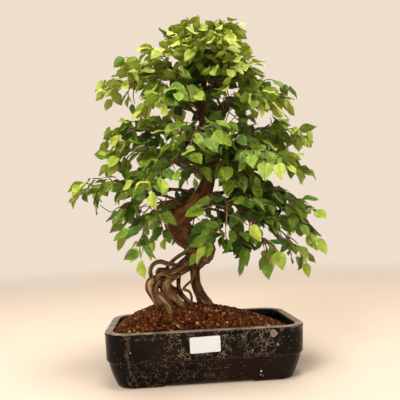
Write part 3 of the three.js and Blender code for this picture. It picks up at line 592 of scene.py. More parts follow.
class Nodes:
    """A short way to write a material's nodes."""

    def __init__(self, name):
        self.material = bpy.data.materials.new(name)
        self.material.use_nodes = True
        self.tree = self.material.node_tree
        self.shader = self.tree.nodes["Principled BSDF"]

    def feed(self, target, value):
        """Give a socket a link from another one, or a number or colour of its own."""
        if isinstance(value, bpy.types.NodeSocket):
            self.tree.links.new(value, target)
        else:
            target.default_value = value

    def node(self, kind, inputs, output=0, **settings):
        """The output of a new node, whose inputs are fed by their names or places."""
        made = self.tree.nodes.new("ShaderNode" + kind)
        for key, value in settings.items():
            setattr(made, key, value)
        for socket, value in inputs.items():
            self.feed(made.inputs[socket], value)
        return made.outputs[output]

    def math(self, operation, *values):
        return self.node("Math", dict(enumerate(values)), operation=operation)

    def sum(self, first, second):
        return self.math("ADD", first, second)

    def product(self, *factors):
        whole = factors[0]
        for factor in factors[1:]:
            whole = self.math("MULTIPLY", whole, factor)
        return whole

    def off(self, value, middle):
        """How far a value is from the middle, either way."""
        return self.math("ABSOLUTE", self.math("SUBTRACT", value, middle))

    def place(self):
        return self.node("TexCoord", {}, "Object")

    def attribute(self, name):
        return self.node("Attribute", {}, "Vector", attribute_name=name)

    def split(self, vector):
        return self.node("SeparateXYZ", {0: vector}, slice(None))

    def scaled(self, vector, scale):
        return self.node("Mapping", {"Vector": vector, "Scale": scale})

    def noise(self, vector, scale, detail=3.0, rough=0.5, output="Fac"):
        inputs = {"Vector": vector, "Scale": scale, "Detail": detail, "Roughness": rough}
        return self.node("TexNoise", inputs, output)

    def voronoi(self, vector, scale, feature="F1", output="Distance"):
        return self.node("TexVoronoi", {"Vector": vector, "Scale": scale}, output, feature=feature)

    def range(self, value, low, high, new_low=0.0, new_high=1.0):
        inputs = dict(enumerate((value, low, high, new_low, new_high)))
        return self.node("MapRange", inputs, interpolation_type="SMOOTHSTEP")

    def reach(self, value, low, high, new_low=0.0, new_high=1.0):
        """A range of a place or a height, with its two ends in millimetres."""
        return self.range(value, low * MM, high * MM, new_low, new_high)

    def ramp(self, value, *stops):
        """Colours along a value, each with its place first."""
        color = self.node("ValToRGB", {0: value})
        elements = color.node.color_ramp.elements
        while len(elements) < len(stops):
            elements.new(0.5)
        for element, (place, *tint) in zip(elements, stops):
            element.position = place
            element.color = (*tint, 1)
        return color

    def mix(self, factor, first, second):
        first, second = ((*c, 1) if isinstance(c, tuple) else c for c in (first, second))
        return self.node("Mix", {0: factor, 6: first, 7: second}, 2, data_type="RGBA")

    def bump(self, height, distance, strength=1.0):
        inputs = {"Strength": strength, "Distance": distance * MM, "Height": height}
        self.feed(self.shader.inputs["Normal"], self.node("Bump", inputs))

    def color(self, value):
        self.feed(self.shader.inputs["Base Color"], value)

    def rough(self, value):
        self.feed(self.shader.inputs["Roughness"], value)

    def specular(self, level):
        self.feed(self.shader.inputs["Specular IOR Level"], level)


# Materials


def bark_material():
    """Grain runs along the wood, and state holds the relief, the share of trunk and the crevice, where
    shade is painted.
    """
    m = Nodes("bark")
    grain = m.attribute("grain")
    relief, upper, crevice = m.split(m.attribute("state"))
    fibre = m.noise(m.scaled(grain, (0.3, 1, 1)), 420, 5, 0.6)
    flakes = m.noise(grain, 260, 5, 0.65)
    patch = m.noise(m.scaled(grain, (0.5, 1, 1)), 70, 4, 0.55)
    # Lighter on raised relief and darker in its grooves: partly the bark's own colour, partly a painted
    # highlight on the ridges and painted shade in the grooves.
    ridge = m.sum(m.product(relief, 0.75), m.product(fibre, 0.35))
    root = m.ramp(
        ridge,
        (0.20, 0.014, 0.005, 0.002),
        (0.45, 0.076, 0.029, 0.009),
        (0.66, 0.210, 0.115, 0.050),
        (0.90, 0.46, 0.31, 0.165),
    )
    trunk = m.ramp(
        m.sum(m.product(ridge, 0.6), m.product(flakes, 0.45)),
        (0.3, 0.018, 0.007, 0.003),
        (0.52, 0.105, 0.039, 0.012),
        (0.72, 0.25, 0.115, 0.040),
    )
    color = m.mix(upper, root, trunk)
    color = m.mix(m.range(patch, 0.5, 0.75, 0, 0.45), color, (0.19, 0.105, 0.048))
    # Painted shade: near-black in the crevices where another root, the trunk or a branch lies close.
    m.color(m.mix(m.product(crevice, 0.85), color, (0.012, 0.005, 0.002)))
    m.rough(m.range(fibre, 0.3, 0.7, 0.62, 0.85))
    m.specular(0.2)
    m.bump(m.sum(fibre, m.product(patch, 0.6)), 0.9, 0.7)
    return m.material


def leaf_lines(m):
    """How far a point is from the side veins, and how much of a vein and of the rib it has."""
    across, along, _ = m.split(m.attribute("blade"))
    off_rib = m.math("ABSOLUTE", across)
    slanted = m.math("SUBTRACT", along, m.product(off_rib, 1.15))
    from_vein = m.off(m.math("FRACT", m.product(slanted, 9.0)), 0.5)
    return from_vein, m.range(from_vein, 0.34, 0.5), m.range(off_rib, 0.0, 0.022, 1.0, 0.0)


def leaf_hue(m, color, tone, chance):
    """Some old leaves are cooler, and a few leaves are warmer."""
    cool = m.mix(0.5, color, (0.030, 0.170, 0.020))
    old = m.range(tone, 0.35, 0.7, 1.0, 0.2)
    color = m.mix(m.product(m.range(chance, 0.0, 0.4, 0.5, 0.0), old), color, cool)
    warm = m.mix(0.5, color, (0.40, 0.36, 0.03))
    return m.mix(m.range(chance, 0.85, 1.0, 0, 0.4), color, warm)


def leaf_material():
    m = Nodes("leaf")
    tone, under, chance = m.split(m.attribute("leaf"))
    from_vein, vein, rib = leaf_lines(m)
    mottle = m.noise(m.place(), 160, 3)
    level = m.sum(tone, m.range(mottle, 0.3, 0.7, -0.09, 0.09))
    body = m.ramp(
        level,
        (0.0, 0.018, 0.047, 0.003),
        (0.3, 0.053, 0.122, 0.007),
        (0.58, 0.160, 0.280, 0.016),
        (0.8, 0.300, 0.425, 0.034),
        (1.0, 0.500, 0.580, 0.090),
    )
    pale = m.ramp(
        level,
        (0.1, 0.060, 0.135, 0.014),
        (0.5, 0.220, 0.380, 0.045),
        (0.7, 0.380, 0.520, 0.060),
        (0.92, 0.560, 0.680, 0.100),
    )
    # Painted shade: darker midway between the side veins, in the troughs of the pleats.
    color = m.mix(m.range(from_vein, 0.0, 0.3, 0.22, 0.0), body, (0.010, 0.030, 0.002))
    color = m.mix(m.math("MAXIMUM", m.product(vein, 0.42), m.product(rib, 0.6)), color, pale)
    # Undersides paler: partly the leaf's own paler underside, partly painted light shining through the
    # leaf.
    color = m.mix(m.product(m.range(under, 0.0, 0.12), 0.7), color, pale)
    m.color(leaf_hue(m, color, tone, chance))
    m.rough(m.range(mottle, 0.3, 0.7, 0.36, 0.5))
    m.bump(m.math("SUBTRACT", m.range(from_vein, 0.0, 0.5), m.product(rib, 1.2)), 0.9, 0.8)
    m.specular(0.36)
    return m.material


def twig_material():
    m = Nodes("twig")
    specks = m.noise(m.place(), 900, 3)
    m.color(m.ramp(specks, (0.3, 0.060, 0.022, 0.010), (0.7, 0.240, 0.105, 0.050)))
    m.rough(m.range(specks, 0.3, 0.7, 0.5, 0.7))
    m.bump(specks, 0.3)
    return m.material


def outside_of_pot(m, place, normal):
    """1 on the pot's outer faces and 0 in the well and under it."""
    inputs = {0: normal, 1: m.scaled(place, (1, 1, 0))}
    return m.range(m.node("VectorMath", inputs, "Value", operation="DOT_PRODUCT"), 0.0, 0.01)


def lace_lines(m, place, fine, scale):
    """Thin curly lines where one glaze has crept over the other, broken here and there."""
    inputs = {0: m.noise(place, 95, 2, output="Color"), 1: (0.010, 0.010, 0.010), 2: place}
    twisted = m.node("VectorMath", inputs, operation="MULTIPLY_ADD")
    cells = m.voronoi(twisted, scale, "DISTANCE_TO_EDGE")
    line = m.range(m.sum(cells, m.product(fine, 0.06)), 0.075, 0.125, 1, 0)
    return m.product(line, m.range(m.noise(place, 140, 3), 0.44, 0.56))


def add_lace(m, color, place, fine, outside):
    """Tan lace on the band, mostly to the right, and thinner rusty lines low on the left."""
    x, _, z = m.split(place)
    patches = m.range(m.noise(place, 38, 2), 0.36, 0.5)
    dense = m.product(m.reach(x, -66, -46), m.reach(x, 82, 104, 1, 0), patches)
    brim = m.product(m.reach(z, 63, 66), m.reach(x, -120, -110), 0.7)
    where = m.math("MAXIMUM", dense, brim)
    upper = m.reach(z, BAND_EDGE - 0.2, BAND_EDGE + 2.3)
    band = m.product(lace_lines(m, place, fine, 225), where, upper, outside)
    color = m.mix(m.product(band, 0.85), color, (0.20, 0.145, 0.105))
    lower = m.reach(z, BAND_EDGE - 1.7, BAND_EDGE + 0.3, 1, 0)
    left = m.product(m.reach(x, -118, -105), m.reach(x, 0, 40, 1, 0))
    body = m.product(lace_lines(m, place, fine, 190), lower, left, outside)
    color = m.mix(m.product(body, 0.7), color, (0.085, 0.052, 0.042))
    return color, m.math("MAXIMUM", band, body)


def add_specks(m, color, place, outside):
    specks = m.math("LESS_THAN", m.voronoi(place, 260), 0.17)
    chosen = m.math("GREATER_THAN", m.split(m.voronoi(place, 260, "F1", "Color"))[0], 0.66)
    return m.mix(m.product(specks, chosen, outside, 0.6), color, (0.26, 0.20, 0.155))


def add_painted_reflection(m, color, place, front):
    """A painted reflection: a broken brown stripe down the front's left end."""
    x, _, z = m.split(place)
    wander = m.range(m.noise(place, 60, 3), 0.3, 0.7, -2.5 * MM, 2.5 * MM)
    off_reflection = m.math("ABSOLUTE", m.sum(m.sum(x, -REFLECTION_X * MM), wander))
    broken = m.range(m.noise(place, 210, 3), 0.36, 0.6)
    top = m.reach(z, REFLECTION_TOP - 6, REFLECTION_TOP, 1, 0)
    reflection = m.product(m.reach(off_reflection, 0.2, 3.8, 1, 0), broken, top, front)
    return m.mix(m.product(reflection, 0.7), color, (0.105, 0.066, 0.038))


def add_marks(m, color, place, front):
    """The chip and the pale flecks on the front, each with a ragged edge."""
    x, _, z = m.split(place)
    ragged = m.noise(place, 190, 3)
    for mark_x, mark_z, radius, tint in GLAZE_MARKS:
        aside = m.math("SUBTRACT", x, mark_x * MM)
        above = m.math("SUBTRACT", z, mark_z * MM)
        squares = m.sum(m.product(aside, aside), m.product(above, above))
        edge = m.sum(m.math("SQRT", squares), m.product(ragged, 1.2 * radius * MM))
        spot = m.product(m.reach(edge, 1.45 * radius, 1.7 * radius, 1, 0), front)
        color = m.mix(m.product(spot, 0.9), color, tint)
    return color


def glaze_ground(m, place, cloud, outside):
    """Nearly black glaze, browner low on the right, with a thin line along the band's lower edge."""
    x, _, z = m.split(place)
    brown = m.product(m.reach(x, -40, 30), m.reach(z, 34, 40, 0.3, 0))
    color = m.ramp(m.sum(cloud, brown), (0.4, 0.0024, 0.0021, 0.0010), (0.75, 0.011, 0.0060, 0.0038))
    edge = m.reach(m.off(z, BAND_EDGE * MM), 0.2, 1.2, 0.35, 0)
    return color, m.product(edge, outside)


def add_foot_and_rim(m, color, place, cloud, lip):
    """Bare clay where the feet stand, and pale taupe on top of the rim."""
    z = m.split(place)[2]
    bare = m.reach(m.sum(z, m.product(cloud, 3 * MM)), 2.4, 3.6, 1, 0)
    color = m.mix(bare, color, (0.085, 0.030, 0.018))
    taupe = m.ramp(m.noise(place, 90, 4), (0.34, 0.115, 0.090, 0.068), (0.66, 0.29, 0.235, 0.185))
    return m.mix(lip, color, taupe)


def glaze_material():
    m = Nodes("glaze")
    place = m.place()
    normal = m.node("NewGeometry", {}, "Normal")
    fine = m.noise(place, 420, 4, 0.6)
    cloud = m.noise(place, 22, 3)
    outside = outside_of_pot(m, place, normal)
    front = m.math("LESS_THAN", m.split(place)[1], -50 * MM)
    lip = m.product(m.range(m.split(normal)[2], 0.3, 0.7), m.reach(m.split(place)[2], 69, 71.2))
    color, edge = glaze_ground(m, place, cloud, outside)
    color, lace = add_lace(m, color, place, fine, outside)
    color = add_specks(m, color, place, outside)
    color = m.mix(edge, color, (0.11, 0.065, 0.045))
    # Painted reflection down the front's left end.
    color = add_painted_reflection(m, color, place, front)
    color = add_marks(m, color, place, front)
    m.color(add_foot_and_rim(m, color, place, cloud, lip))
    m.rough(m.sum(m.range(fine, 0.3, 0.7, 0.16, 0.30), m.product(lip, 0.12)))
    m.specular(0.08)
    m.bump(m.sum(m.noise(place, 45, 2), m.product(lace, 0.25)), 0.5, 0.6)
    return m.material


def granule_material():
    m = Nodes("granules")
    tone = m.split(m.attribute("grit"))[0]
    grain = m.noise(m.place(), 900, 4, 0.65)
    color = m.ramp(
        m.sum(tone, m.range(grain, 0.3, 0.7, -0.08, 0.08)),
        (0.0, 0.016, 0.003, 0.001),
        (0.35, 0.070, 0.017, 0.003),
        (0.65, 0.170, 0.050, 0.012),
        (0.85, 0.34, 0.14, 0.045),
        (1.0, 0.62, 0.42, 0.22),
    )
    m.color(color)
    m.specular(0.15)
    m.rough(m.range(grain, 0.3, 0.7, 0.7, 0.95))
    m.bump(grain, 0.6, 0.8)
    return m.material


def paper_material():
    m = Nodes("paper")
    fibre = m.noise(m.place(), 1200, 4)
    m.color(m.ramp(fibre, (0.3, 0.63, 0.67, 0.74), (0.7, 0.70, 0.74, 0.82)))
    m.rough(m.range(fibre, 0.3, 0.7, 0.45, 0.6))
    m.bump(fibre, 0.1, 0.4)
    return m.material


def net_material():
    m = Nodes("net")
    scuffs = m.noise(m.place(), 300, 3)
    m.color(m.ramp(scuffs, (0.3, 0.012, 0.012, 0.012), (0.7, 0.035, 0.035, 0.035)))
    m.rough(m.range(scuffs, 0.3, 0.7, 0.45, 0.65))
    return m.material


# Dressing


def dress(piece, slot, *materials):
    for material in materials:
        piece.data.materials.append(material)
    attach(piece, "root")


def dress_node(node, material):
    """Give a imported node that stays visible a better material."""
    for slot in bpy.data.objects[node].material_slots:
        slot.material = material


# Pot


def rounded_ring(half_length, half_depth, corner, z):
    """A rounded rectangle, counter-clockwise seen from above."""
    ring = []
    for quarter in range(4):
        sign_x = 1 if quarter in (0, 3) else -1
        sign_y = 1 if quarter < 2 else -1
        for step in range(POT_CORNER_STEPS + 1):
            angle = (quarter + step / POT_CORNER_STEPS) * math.pi / 2
            x = sign_x * (half_length - corner) + corner * math.cos(angle)
            y = sign_y * (half_depth - corner) + corner * math.sin(angle)
            ring.append((x, y, z))
    return np.array(ring)


def outer_ring(share, z):
    lengths = (RIM_LENGTH, BASE_LENGTH), (RIM_DEPTH, BASE_DEPTH), (RIM_CORNER, BASE_CORNER)
    length, depth, corner = (rim + share * (base - rim) for rim, base in lengths)
    return rounded_ring(length / 2, depth / 2, corner, z)


def inner_ring(inset, z):
    corner = max(RIM_CORNER - inset * WELL_CORNER_SHARE, LEAST_WELL_CORNER)
    return rounded_ring(RIM_LENGTH / 2 - inset, RIM_DEPTH / 2 - inset, corner, z)


def foot_gap(width, reach, turned):
    """A bar under the pot, wider below, that leaves a gap between two feet."""
    side = width / 2
    half = [(side + FOOT_GAP_FLARE, -1), (side, FOOT_HEIGHT - 1), (side - FOOT_GAP_BEVEL, FOOT_HEIGHT)]
    other = [(-x, z) for x, z in half]
    section = other[:1] + half + other[:0:-1]
    ends = []
    for y in (reach / 2, -reach / 2):
        rows = [(-y, x, z) if turned else (x, y, z) for x, z in section]
        ends.append(np.array(rows, float))
    maker = Maker()
    add_loft(maker, ends)
    return maker.build("foot_gap")


def drain_hole(x):
    cosines, sines, _ = circle(DRAIN_SIDES)
    ring = np.stack([x + DRAIN_RADIUS * cosines, DRAIN_RADIUS * sines], 1)
    maker = Maker()
    add_loft(maker, [np.column_stack([ring, np.full(DRAIN_SIDES, z)]) for z in (-2, 2 * FLOOR_HEIGHT)])
    return maker.build("drain_hole")


def cut_away(piece, cutters):
    for cutter in cutters:
        cut = piece.modifiers.new("cut", "BOOLEAN")
        cut.object = cutter
        cut.solver = "EXACT"
    apply_modifiers(piece)
    for cutter in cutters:
        bpy.data.objects.remove(cutter)


def make_pot():
    maker = Maker()
    rings = [outer_ring(*row) for row in OUTER_PROFILE]
    add_loft(maker, rings + [inner_ring(*row) for row in INNER_PROFILE])
    pot = maker.build("pot_body")
    gaps = [
        foot_gap(FOOT_GAP_LENGTH, 2 * RIM_DEPTH, False),
        foot_gap(FOOT_GAP_DEPTH, 2 * RIM_LENGTH, True),
    ]
    cut_away(pot, gaps + [drain_hole(x) for x in (-DRAIN_SPACING / 2, DRAIN_SPACING / 2)])
    pot.data.set_sharp_from_angle(angle=math.radians(POT_CREASE_DEG))
    dress(pot, "glaze", GLAZE)
    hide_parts("pot")


# Soil


def mound_height(x, y):
    """Highest a little left of the middle, and lower at the right end and at the back."""
    off_peak = x - SOIL_PEAK_X
    reach = RIM_LENGTH / 2 - RIM_WIDTH - np.sign(off_peak) * SOIL_PEAK_X
    along = np.maximum(0, 1 - (off_peak / reach) ** 2)
    across = np.maximum(0, 1 - (y / (RIM_DEPTH / 2 - RIM_WIDTH)) ** 2)
    edge = SOIL_EDGE - SOIL_FALL_RIGHT * x - SOIL_FALL_BACK * y
    return edge + SOIL_RISE * along**SOIL_LENGTH_POWER * across**SOIL_DEPTH_POWER


def make_soil_bed(maker):
    rings = [inner_ring(inset + SEAT_GAP, z) for inset, z in reversed(INNER_PROFILE[4:])]
    rings[0][:, 2] = FLOOR_HEIGHT + SEAT_GAP
    rings.append(inner_ring(*SOIL_BED_WAIST))
    edge = inner_ring(SOIL_BED_INSET, SOIL_EDGE)
    for share in np.linspace(1, 0.03, SOIL_BED_RINGS):
        ring = edge * (share, share, 1)
        ring[:, 2] = mound_height(ring[:, 0], ring[:, 1]) - SOIL_BED_SINK
        rings.append(ring)
    add_loft(maker, rings, grit=(0.2, 0, 0))


def in_well(places, half_length, half_depth):
    corner = RIM_CORNER - RIM_WIDTH * WELL_CORNER_SHARE
    beyond = np.maximum(np.abs(places) - (half_length - corner, half_depth - corner), 0)
    return np.linalg.norm(beyond, axis=1) < corner + 0.6


def granule_places(chance):
    """A shaken grid of granules over the mound, and more of them strewn on top."""
    half_length = RIM_LENGTH / 2 - RIM_WIDTH - GRANULE_MARGINS[0]
    half_depth = RIM_DEPTH / 2 - RIM_WIDTH - GRANULE_MARGINS[1]
    columns = np.arange(-half_length, half_length + 1, GRANULE_PITCH)
    rows = np.arange(-half_depth, half_depth + 1, GRANULE_PITCH * GRANULE_ROW_SHARE)
    x, y = np.meshgrid(columns, rows)
    x = x + (np.arange(len(rows)) % 2)[:, None] * GRANULE_PITCH / 2
    flat = np.column_stack([x.ravel(), y.ravel()])
    flat += chance.uniform(-GRANULE_SHIFT, GRANULE_SHIFT, flat.shape)
    lift = chance.uniform(*GRANULE_LIFTS, len(flat))
    extra = chance.uniform(-1, 1, (TOP_GRANULES, 2)) * (half_length, half_depth)
    flat = np.vstack([flat, extra])
    lift = np.concatenate([lift, np.full(TOP_GRANULES, TOP_GRANULE_LIFT)])
    inside = in_well(flat, half_length, half_depth)
    flat, lift = flat[inside], lift[inside]
    return np.column_stack([flat, mound_height(*flat.T) + lift])


def clear_of_roots(places, lines):
    free = np.ones(len(places), bool)
    for line in lines:
        for share in np.linspace(0.6, 1, 20):
            gap = np.linalg.norm(places - line.at(share), axis=1)
            free &= gap > line.carried(share) + SEAT_GAP
    return places[free]


def icosahedron():
    """Its twelve corners, and the twenty triangles between them, seen from outside."""
    golden = (1 + 5**0.5) / 2
    corners = unit(np.array([(0, a, b * golden) for a in (-1, 1) for b in (-1, 1)], float))
    corners = np.vstack([np.roll(corners, k, axis=1) for k in range(3)])
    gaps = np.linalg.norm(corners[:, None] - corners[None], axis=-1)
    near = gaps < np.sort(gaps[0])[1] * 1.1
    faces = []
    for a, b, c in itertools.combinations(range(len(corners)), 3):
        if near[a, b] and near[b, c] and near[a, c]:
            outward = np.dot(np.cross(corners[b] - corners[a], corners[c] - corners[a]), corners[a])
            faces.append((a, b, c) if outward > 0 else (a, c, b))
    return corners, np.array(faces)


def granule_shapes(chance, corners, count):
    """Uneven granules of three sizes, each turned its own way."""
    shapes = corners * chance.uniform(0.84, 1.14, (count, len(corners), 1))
    shapes = shapes * chance.uniform(0.72, 1.25, (count, 1, 3)) * GRANULE_RADIUS
    shapes = shapes * chance.choice(GRANULE_SIZES, (count, 1, 1), p=GRANULE_SIZE_SHARES)
    turns = unit(chance.normal(size=(count, 4)))
    w, x, y, z = turns.T[:, :, None]
    axis = np.stack([x, y, z], axis=-1)
    return shapes + 2 * np.cross(axis, np.cross(axis, shapes) + w[..., None] * shapes)


def granule_tones(chance, count):
    tone = np.clip(chance.beta(2.2, 2.6, count), 0, 1)
    return np.where(chance.random(count) < PALE_GRANULES, chance.uniform(0.85, 1.0, count), tone * 0.88)


def make_soil(root_lines):
    chance = np.random.default_rng(SOIL_SEED)
    maker = Maker()
    make_soil_bed(maker)
    corners, triangles = icosahedron()
    places = clear_of_roots(granule_places(chance), root_lines)
    count = len(places)
    points = places[:, None] + granule_shapes(chance, corners, count)
    faces = (np.arange(count)[:, None, None] * len(corners) + triangles).reshape(-1, 3)
    grit = granule_tones(chance, count)[:, None] * (1, 0, 0)
    maker.add(points.reshape(-1, 3), [faces], grit=np.repeat(grit, len(corners), axis=0))
    soil = maker.build("soil_granules")
    soil.data.shade_flat()
    dress(soil, "granules", granule_material())
    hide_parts("soil")


# Wood


def kinked_line(points, index):
    """A branch's centre line with small bends put in, as where twigs once grew."""
    chance = random.Random(LEAF_SEED + index)
    plain = CentreLine(points)
    count = round(plain.length / KINK_PITCH)
    knots = plain.at(np.linspace(0, 1, count + 1))
    for knot in knots[1:-1]:
        knot += [chance.uniform(-BRANCH_KINK, BRANCH_KINK) for _ in range(3)]
    return CentreLine(knots)


def branch_radius(radius):
    extra = radius - BRANCH_TIP_RADIUS
    return lambda share: BRANCH_TIP_RADIUS + extra * (1 - share) ** BRANCH_TAPER_POWER


def flutes(angles, shares):
    return 1 + TRUNK_FLUTE_DEPTH * np.sin(TRUNK_FLUTES * angles + 5 * shares)


def add_wood(maker, root_lines, trunk_line, branch_lines):
    """Trunk, roots and the woody part of each branch. Gives each centre line with its radius."""
    add_tube(maker, trunk_line, trunk_line.carried, 32, 5, shape=flutes)
    lines = [(trunk_line, trunk_line.carried)]
    for line in root_lines:
        add_tube(maker, line, line.carried, 14, 3)
        lines.append((line, line.carried))
    for line, radius_at in branch_lines.values():
        add_tube(maker, line, radius_at, 10, 6, 0, WOOD_SHARE)
        lines.append((line, radius_at))
    return lines


def grow_together(wood):
    """One skin over all tubes, with soft joints."""
    merge = wood.modifiers.new("merge", "REMESH")
    merge.mode = "VOXEL"
    merge.voxel_size = WOOD_VOXEL * MM
    soften = wood.modifiers.new("soften", "SMOOTH")
    soften.factor = 0.4
    soften.iterations = 2
    apply_modifiers(wood)
    wood.data.shade_smooth()


def line_table(lines):
    """Rows of middle, two directions across, radius, place along and line, and each line's first row."""
    rows = []
    for index, (line, radius_at) in enumerate(lines):
        shares, middles, across, beside = sections(line, 3.0)
        radius = np.broadcast_to(radius_at(shares), shares.shape)
        ids = np.full(len(shares), index)
        rows.append(np.column_stack([middles, across, beside, radius, shares * line.length, ids]))
    firsts = np.concatenate([[0], np.cumsum([len(row) for row in rows])[:-1]])
    return np.vstack(rows), firsts


def nearest_rows(points, table, firsts, batch=4000):
    """For each point the row that it lies nearest to, and how much further off the next line is."""
    best = np.empty(len(points), int)
    next_gap = np.empty(len(points))
    for start in range(0, len(points), batch):
        part = slice(start, start + batch)
        gaps = np.linalg.norm(points[part][:, None] - table[None, :, :3], axis=-1) - table[None, :, 9]
        best[part] = gaps.argmin(axis=1)
        by_line = np.sort(np.minimum.reduceat(gaps, firsts, axis=1), axis=1)
        next_gap[part] = by_line[:, 1] - by_line[:, 0]
    return table[best], next_gap


def around_line(points, chosen):
    """Each point's direction from its line, as a cosine and a sine."""
    off = points - chosen[:, :3]
    aside = (off * chosen[:, 3:6]).sum(axis=1)
    away = (off * chosen[:, 6:9]).sum(axis=1)
    reach = np.hypot(aside, away) + 1e-6
    return aside / reach, away / reach


def bark_height(along, cosine, sine, radius, line_id):
    """Relief from 0 to 1 with ridges that run along the wood."""
    heights = np.full(len(along), 0.5)
    for i in range(len(along)):
        lap = RIDGES_ROUND[0] + radius[i] * RIDGES_ROUND[1]
        pitch = RIDGES_ALONG[0] + RIDGES_ALONG[1] * radius[i]
        for strength, finer, shift in BARK_LAYERS:
            run = along[i] * pitch * finer + line_id[i] * shift
            place = Vector((run, cosine[i] * lap * finer, sine[i] * lap * finer))
            heights[i] += strength * noise.noise(place)
    return np.clip(heights, 0, 1)


def carve_bark(mesh, lines):
    """Raise ridges, sink the joints between lines, and keep for the material where each point lies."""
    points = read(mesh.vertices, "co", 3) / MM
    normals = read(mesh.vertices, "normal", 3)
    chosen, next_gap = nearest_rows(points, *line_table(lines))
    cosine, sine = around_line(points, chosen)
    radius, along, line_id = chosen[:, 9:].T
    height = bark_height(along, cosine, sine, radius, line_id)
    relief = np.minimum(BARK_RELIEF, radius * RELIEF_PER_RADIUS)
    # How close another line lies: it sinks the joints, and the bark paints shade there.
    crevice = np.clip(1 - next_gap / CREVICE_WIDTH, 0, 1)
    sunk = CREVICE_DEPTH * crevice**2 * np.minimum(1, radius / 5)
    points += normals * ((height - BARK_MIDDLE) * 2 * relief - sunk)[:, None]
    mesh.vertices.foreach_set("co", (points * MM).ravel())
    grain = np.column_stack([along + line_id * GRAIN_SHIFT, cosine * radius, sine * radius]) * MM
    upper = np.clip((points[:, 2] - TRUNK_FOOT) / TRUNK_FOOT_BLEND, 0, 1)
    add_attribute(mesh, "grain", grain)
    add_attribute(mesh, "state", np.column_stack([height, upper, crevice]))
    mesh.update()


def make_wood(root_lines, trunk_line, branch_lines):
    maker = Maker()
    lines = add_wood(maker, root_lines, trunk_line, branch_lines)
    wood = maker.build("wood")
    grow_together(wood)
    carve_bark(wood.data, lines)
    dress(wood, "bark", bark_material())
    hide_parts("tree")


# Leaf blades


def blade_shape():
    """Shares across and along one closed blade, its teeth and its side: its rings, then stalk and tip."""
    rings = np.arange(1, BLADE_ROWS)
    count = len(BLADE_ACROSS)
    across = np.append(np.tile(BLADE_ACROSS, len(rings)), [0, 0])
    along = np.append(np.repeat(rings / BLADE_ROWS, count), [0, 1])
    teeth = np.append(np.repeat(np.where(rings % 2 == 1, 1.0, -0.6), count), [0, 0])
    side = np.append(np.tile(BLADE_SIDE, len(rings)), [0, 0])
    return across, along, teeth * (np.abs(across) == 1), side


BLADE_U, BLADE_V, BLADE_TEETH, BLADE_SIDES = blade_shape()
BLADE_FACES = skin_faces(len(BLADE_ACROSS), BLADE_ROWS - 1)
HALF_WIDTH = np.interp(BLADE_V, *zip(*BLADE_OUTLINE))


def blade_places(length, chance):
    """Places along, beside and above one blade: toothed, folded along its rib, bent down and wavy."""
    u, v = BLADE_U, BLADE_V
    width = length * BLADE_WIDTH_SHARE * chance.uniform(0.9, 1.1)
    fold = chance.uniform(*BLADE_FOLDS)
    bend = chance.uniform(*BLADE_BENDS)
    sway = chance.uniform(*BLADE_SWAYS)
    phase = chance.uniform(0, 6.3)
    along = length * (v + BLADE_TOOTH_LEAN * BLADE_TEETH)
    beside = u * width / 2 * HALF_WIDTH * (1 + BLADE_TOOTH * BLADE_TEETH)
    above = fold * np.abs(beside) - bend * length * v**2
    above += BLADE_WAVE * length * u**2 * np.sin(9 * v + phase + u)
    swell = (1 - u**2) * (1 - np.abs(2 * v - 1) ** 3)
    above += BLADE_SIDES * BLADE_THICKNESS / 2 * swell
    return along, beside + sway * length * v**2, above


def add_leaves(maker, leaves):
    """Each leaf is a base, the way it points, the way it faces, its length, its tone and its chance."""
    zero = np.zeros(len(BLADE_V))
    under = (BLADE_SIDES < 0).astype(float)
    for base, along, facing, length, tone, chance in leaves:
        x, y, z = blade_places(length, chance)
        beside = np.cross(facing, along)
        root = base + along * STALK_LENGTH
        points = root + x[:, None] * along + y[:, None] * beside + z[:, None] * facing
        blade = np.column_stack([y / length, BLADE_V, zero])
        leaf = np.column_stack([zero + tone, under, zero + chance.random()])
        maker.add(points, BLADE_FACES, blade=blade, leaf=leaf)
        add_stalk(maker, base, root, facing, beside, tone)


def add_stalk(maker, base, root, facing, beside, tone):
    cosines, sines, _ = circle(STALK_SIDES)
    ring = STALK_RADIUS * (cosines[:, None] * facing + sines[:, None] * beside)
    bow = (base + root) / 2 + facing * 0.5
    points = np.vstack([base + ring, bow + ring * 0.9, root + (root - base) * 0.2 + ring * 0.7])
    around = np.arange(STALK_SIDES)
    turned = (around + 1) % STALK_SIDES
    walls = np.stack([around, around + STALK_SIDES, turned + STALK_SIDES, turned], 1)
    maker.add(points, [walls, walls + STALK_SIDES], blade=(0, 0.5, 0), leaf=(min(tone + 0.1, 1), 0, 0))


def crease(mesh):
    """Crisp leaf edges and ribs, and round twigs."""
    mesh.set_sharp_from_angle(angle=math.radians(LEAF_CREASE_DEG))
    edges = read(mesh.loops, "edge_index", kind=int)
    tags = read(mesh.polygons, "material_index", kind=int)
    sizes = read(mesh.polygons, "loop_total", kind=int)
    sharp = read(mesh.edges, "use_edge_sharp", kind=bool)
    sharp[edges[np.repeat(tags, sizes) == AS_TWIG["tag"]]] = False
    mesh.edges.foreach_set("use_edge_sharp", sharp)


# Where leaves and twigs grow


def within_reach(point):
    """Inside the box, and under the crown's round top."""
    dome = np.interp(point[0], *zip(*CROWN_EDGE)) - CROWN_FALL * point[1] ** 2
    return bool(np.all(point > REACH[0]) and np.all(point < REACH[1]) and point[2] < dome)


def in_gap(leaf):
    base, along, _, length, _, _ = leaf
    places = base + np.outer(STALK_LENGTH + length * np.array([0.25, 0.5, 0.75]), along)
    for front_x, front_z, back_x, back_z, radius in GAPS:
        front = np.array([front_x, GAP_FRONT_Y, front_z], float)
        run = [back_x, GAP_BACK_Y, back_z] - front
        shares = np.clip((places - front) @ run / (run @ run), 0, 1)
        off = np.linalg.norm(places - front - np.outer(shares, run), axis=1)
        if off.min() < radius + GAP_MARGIN:
            return True
    return False


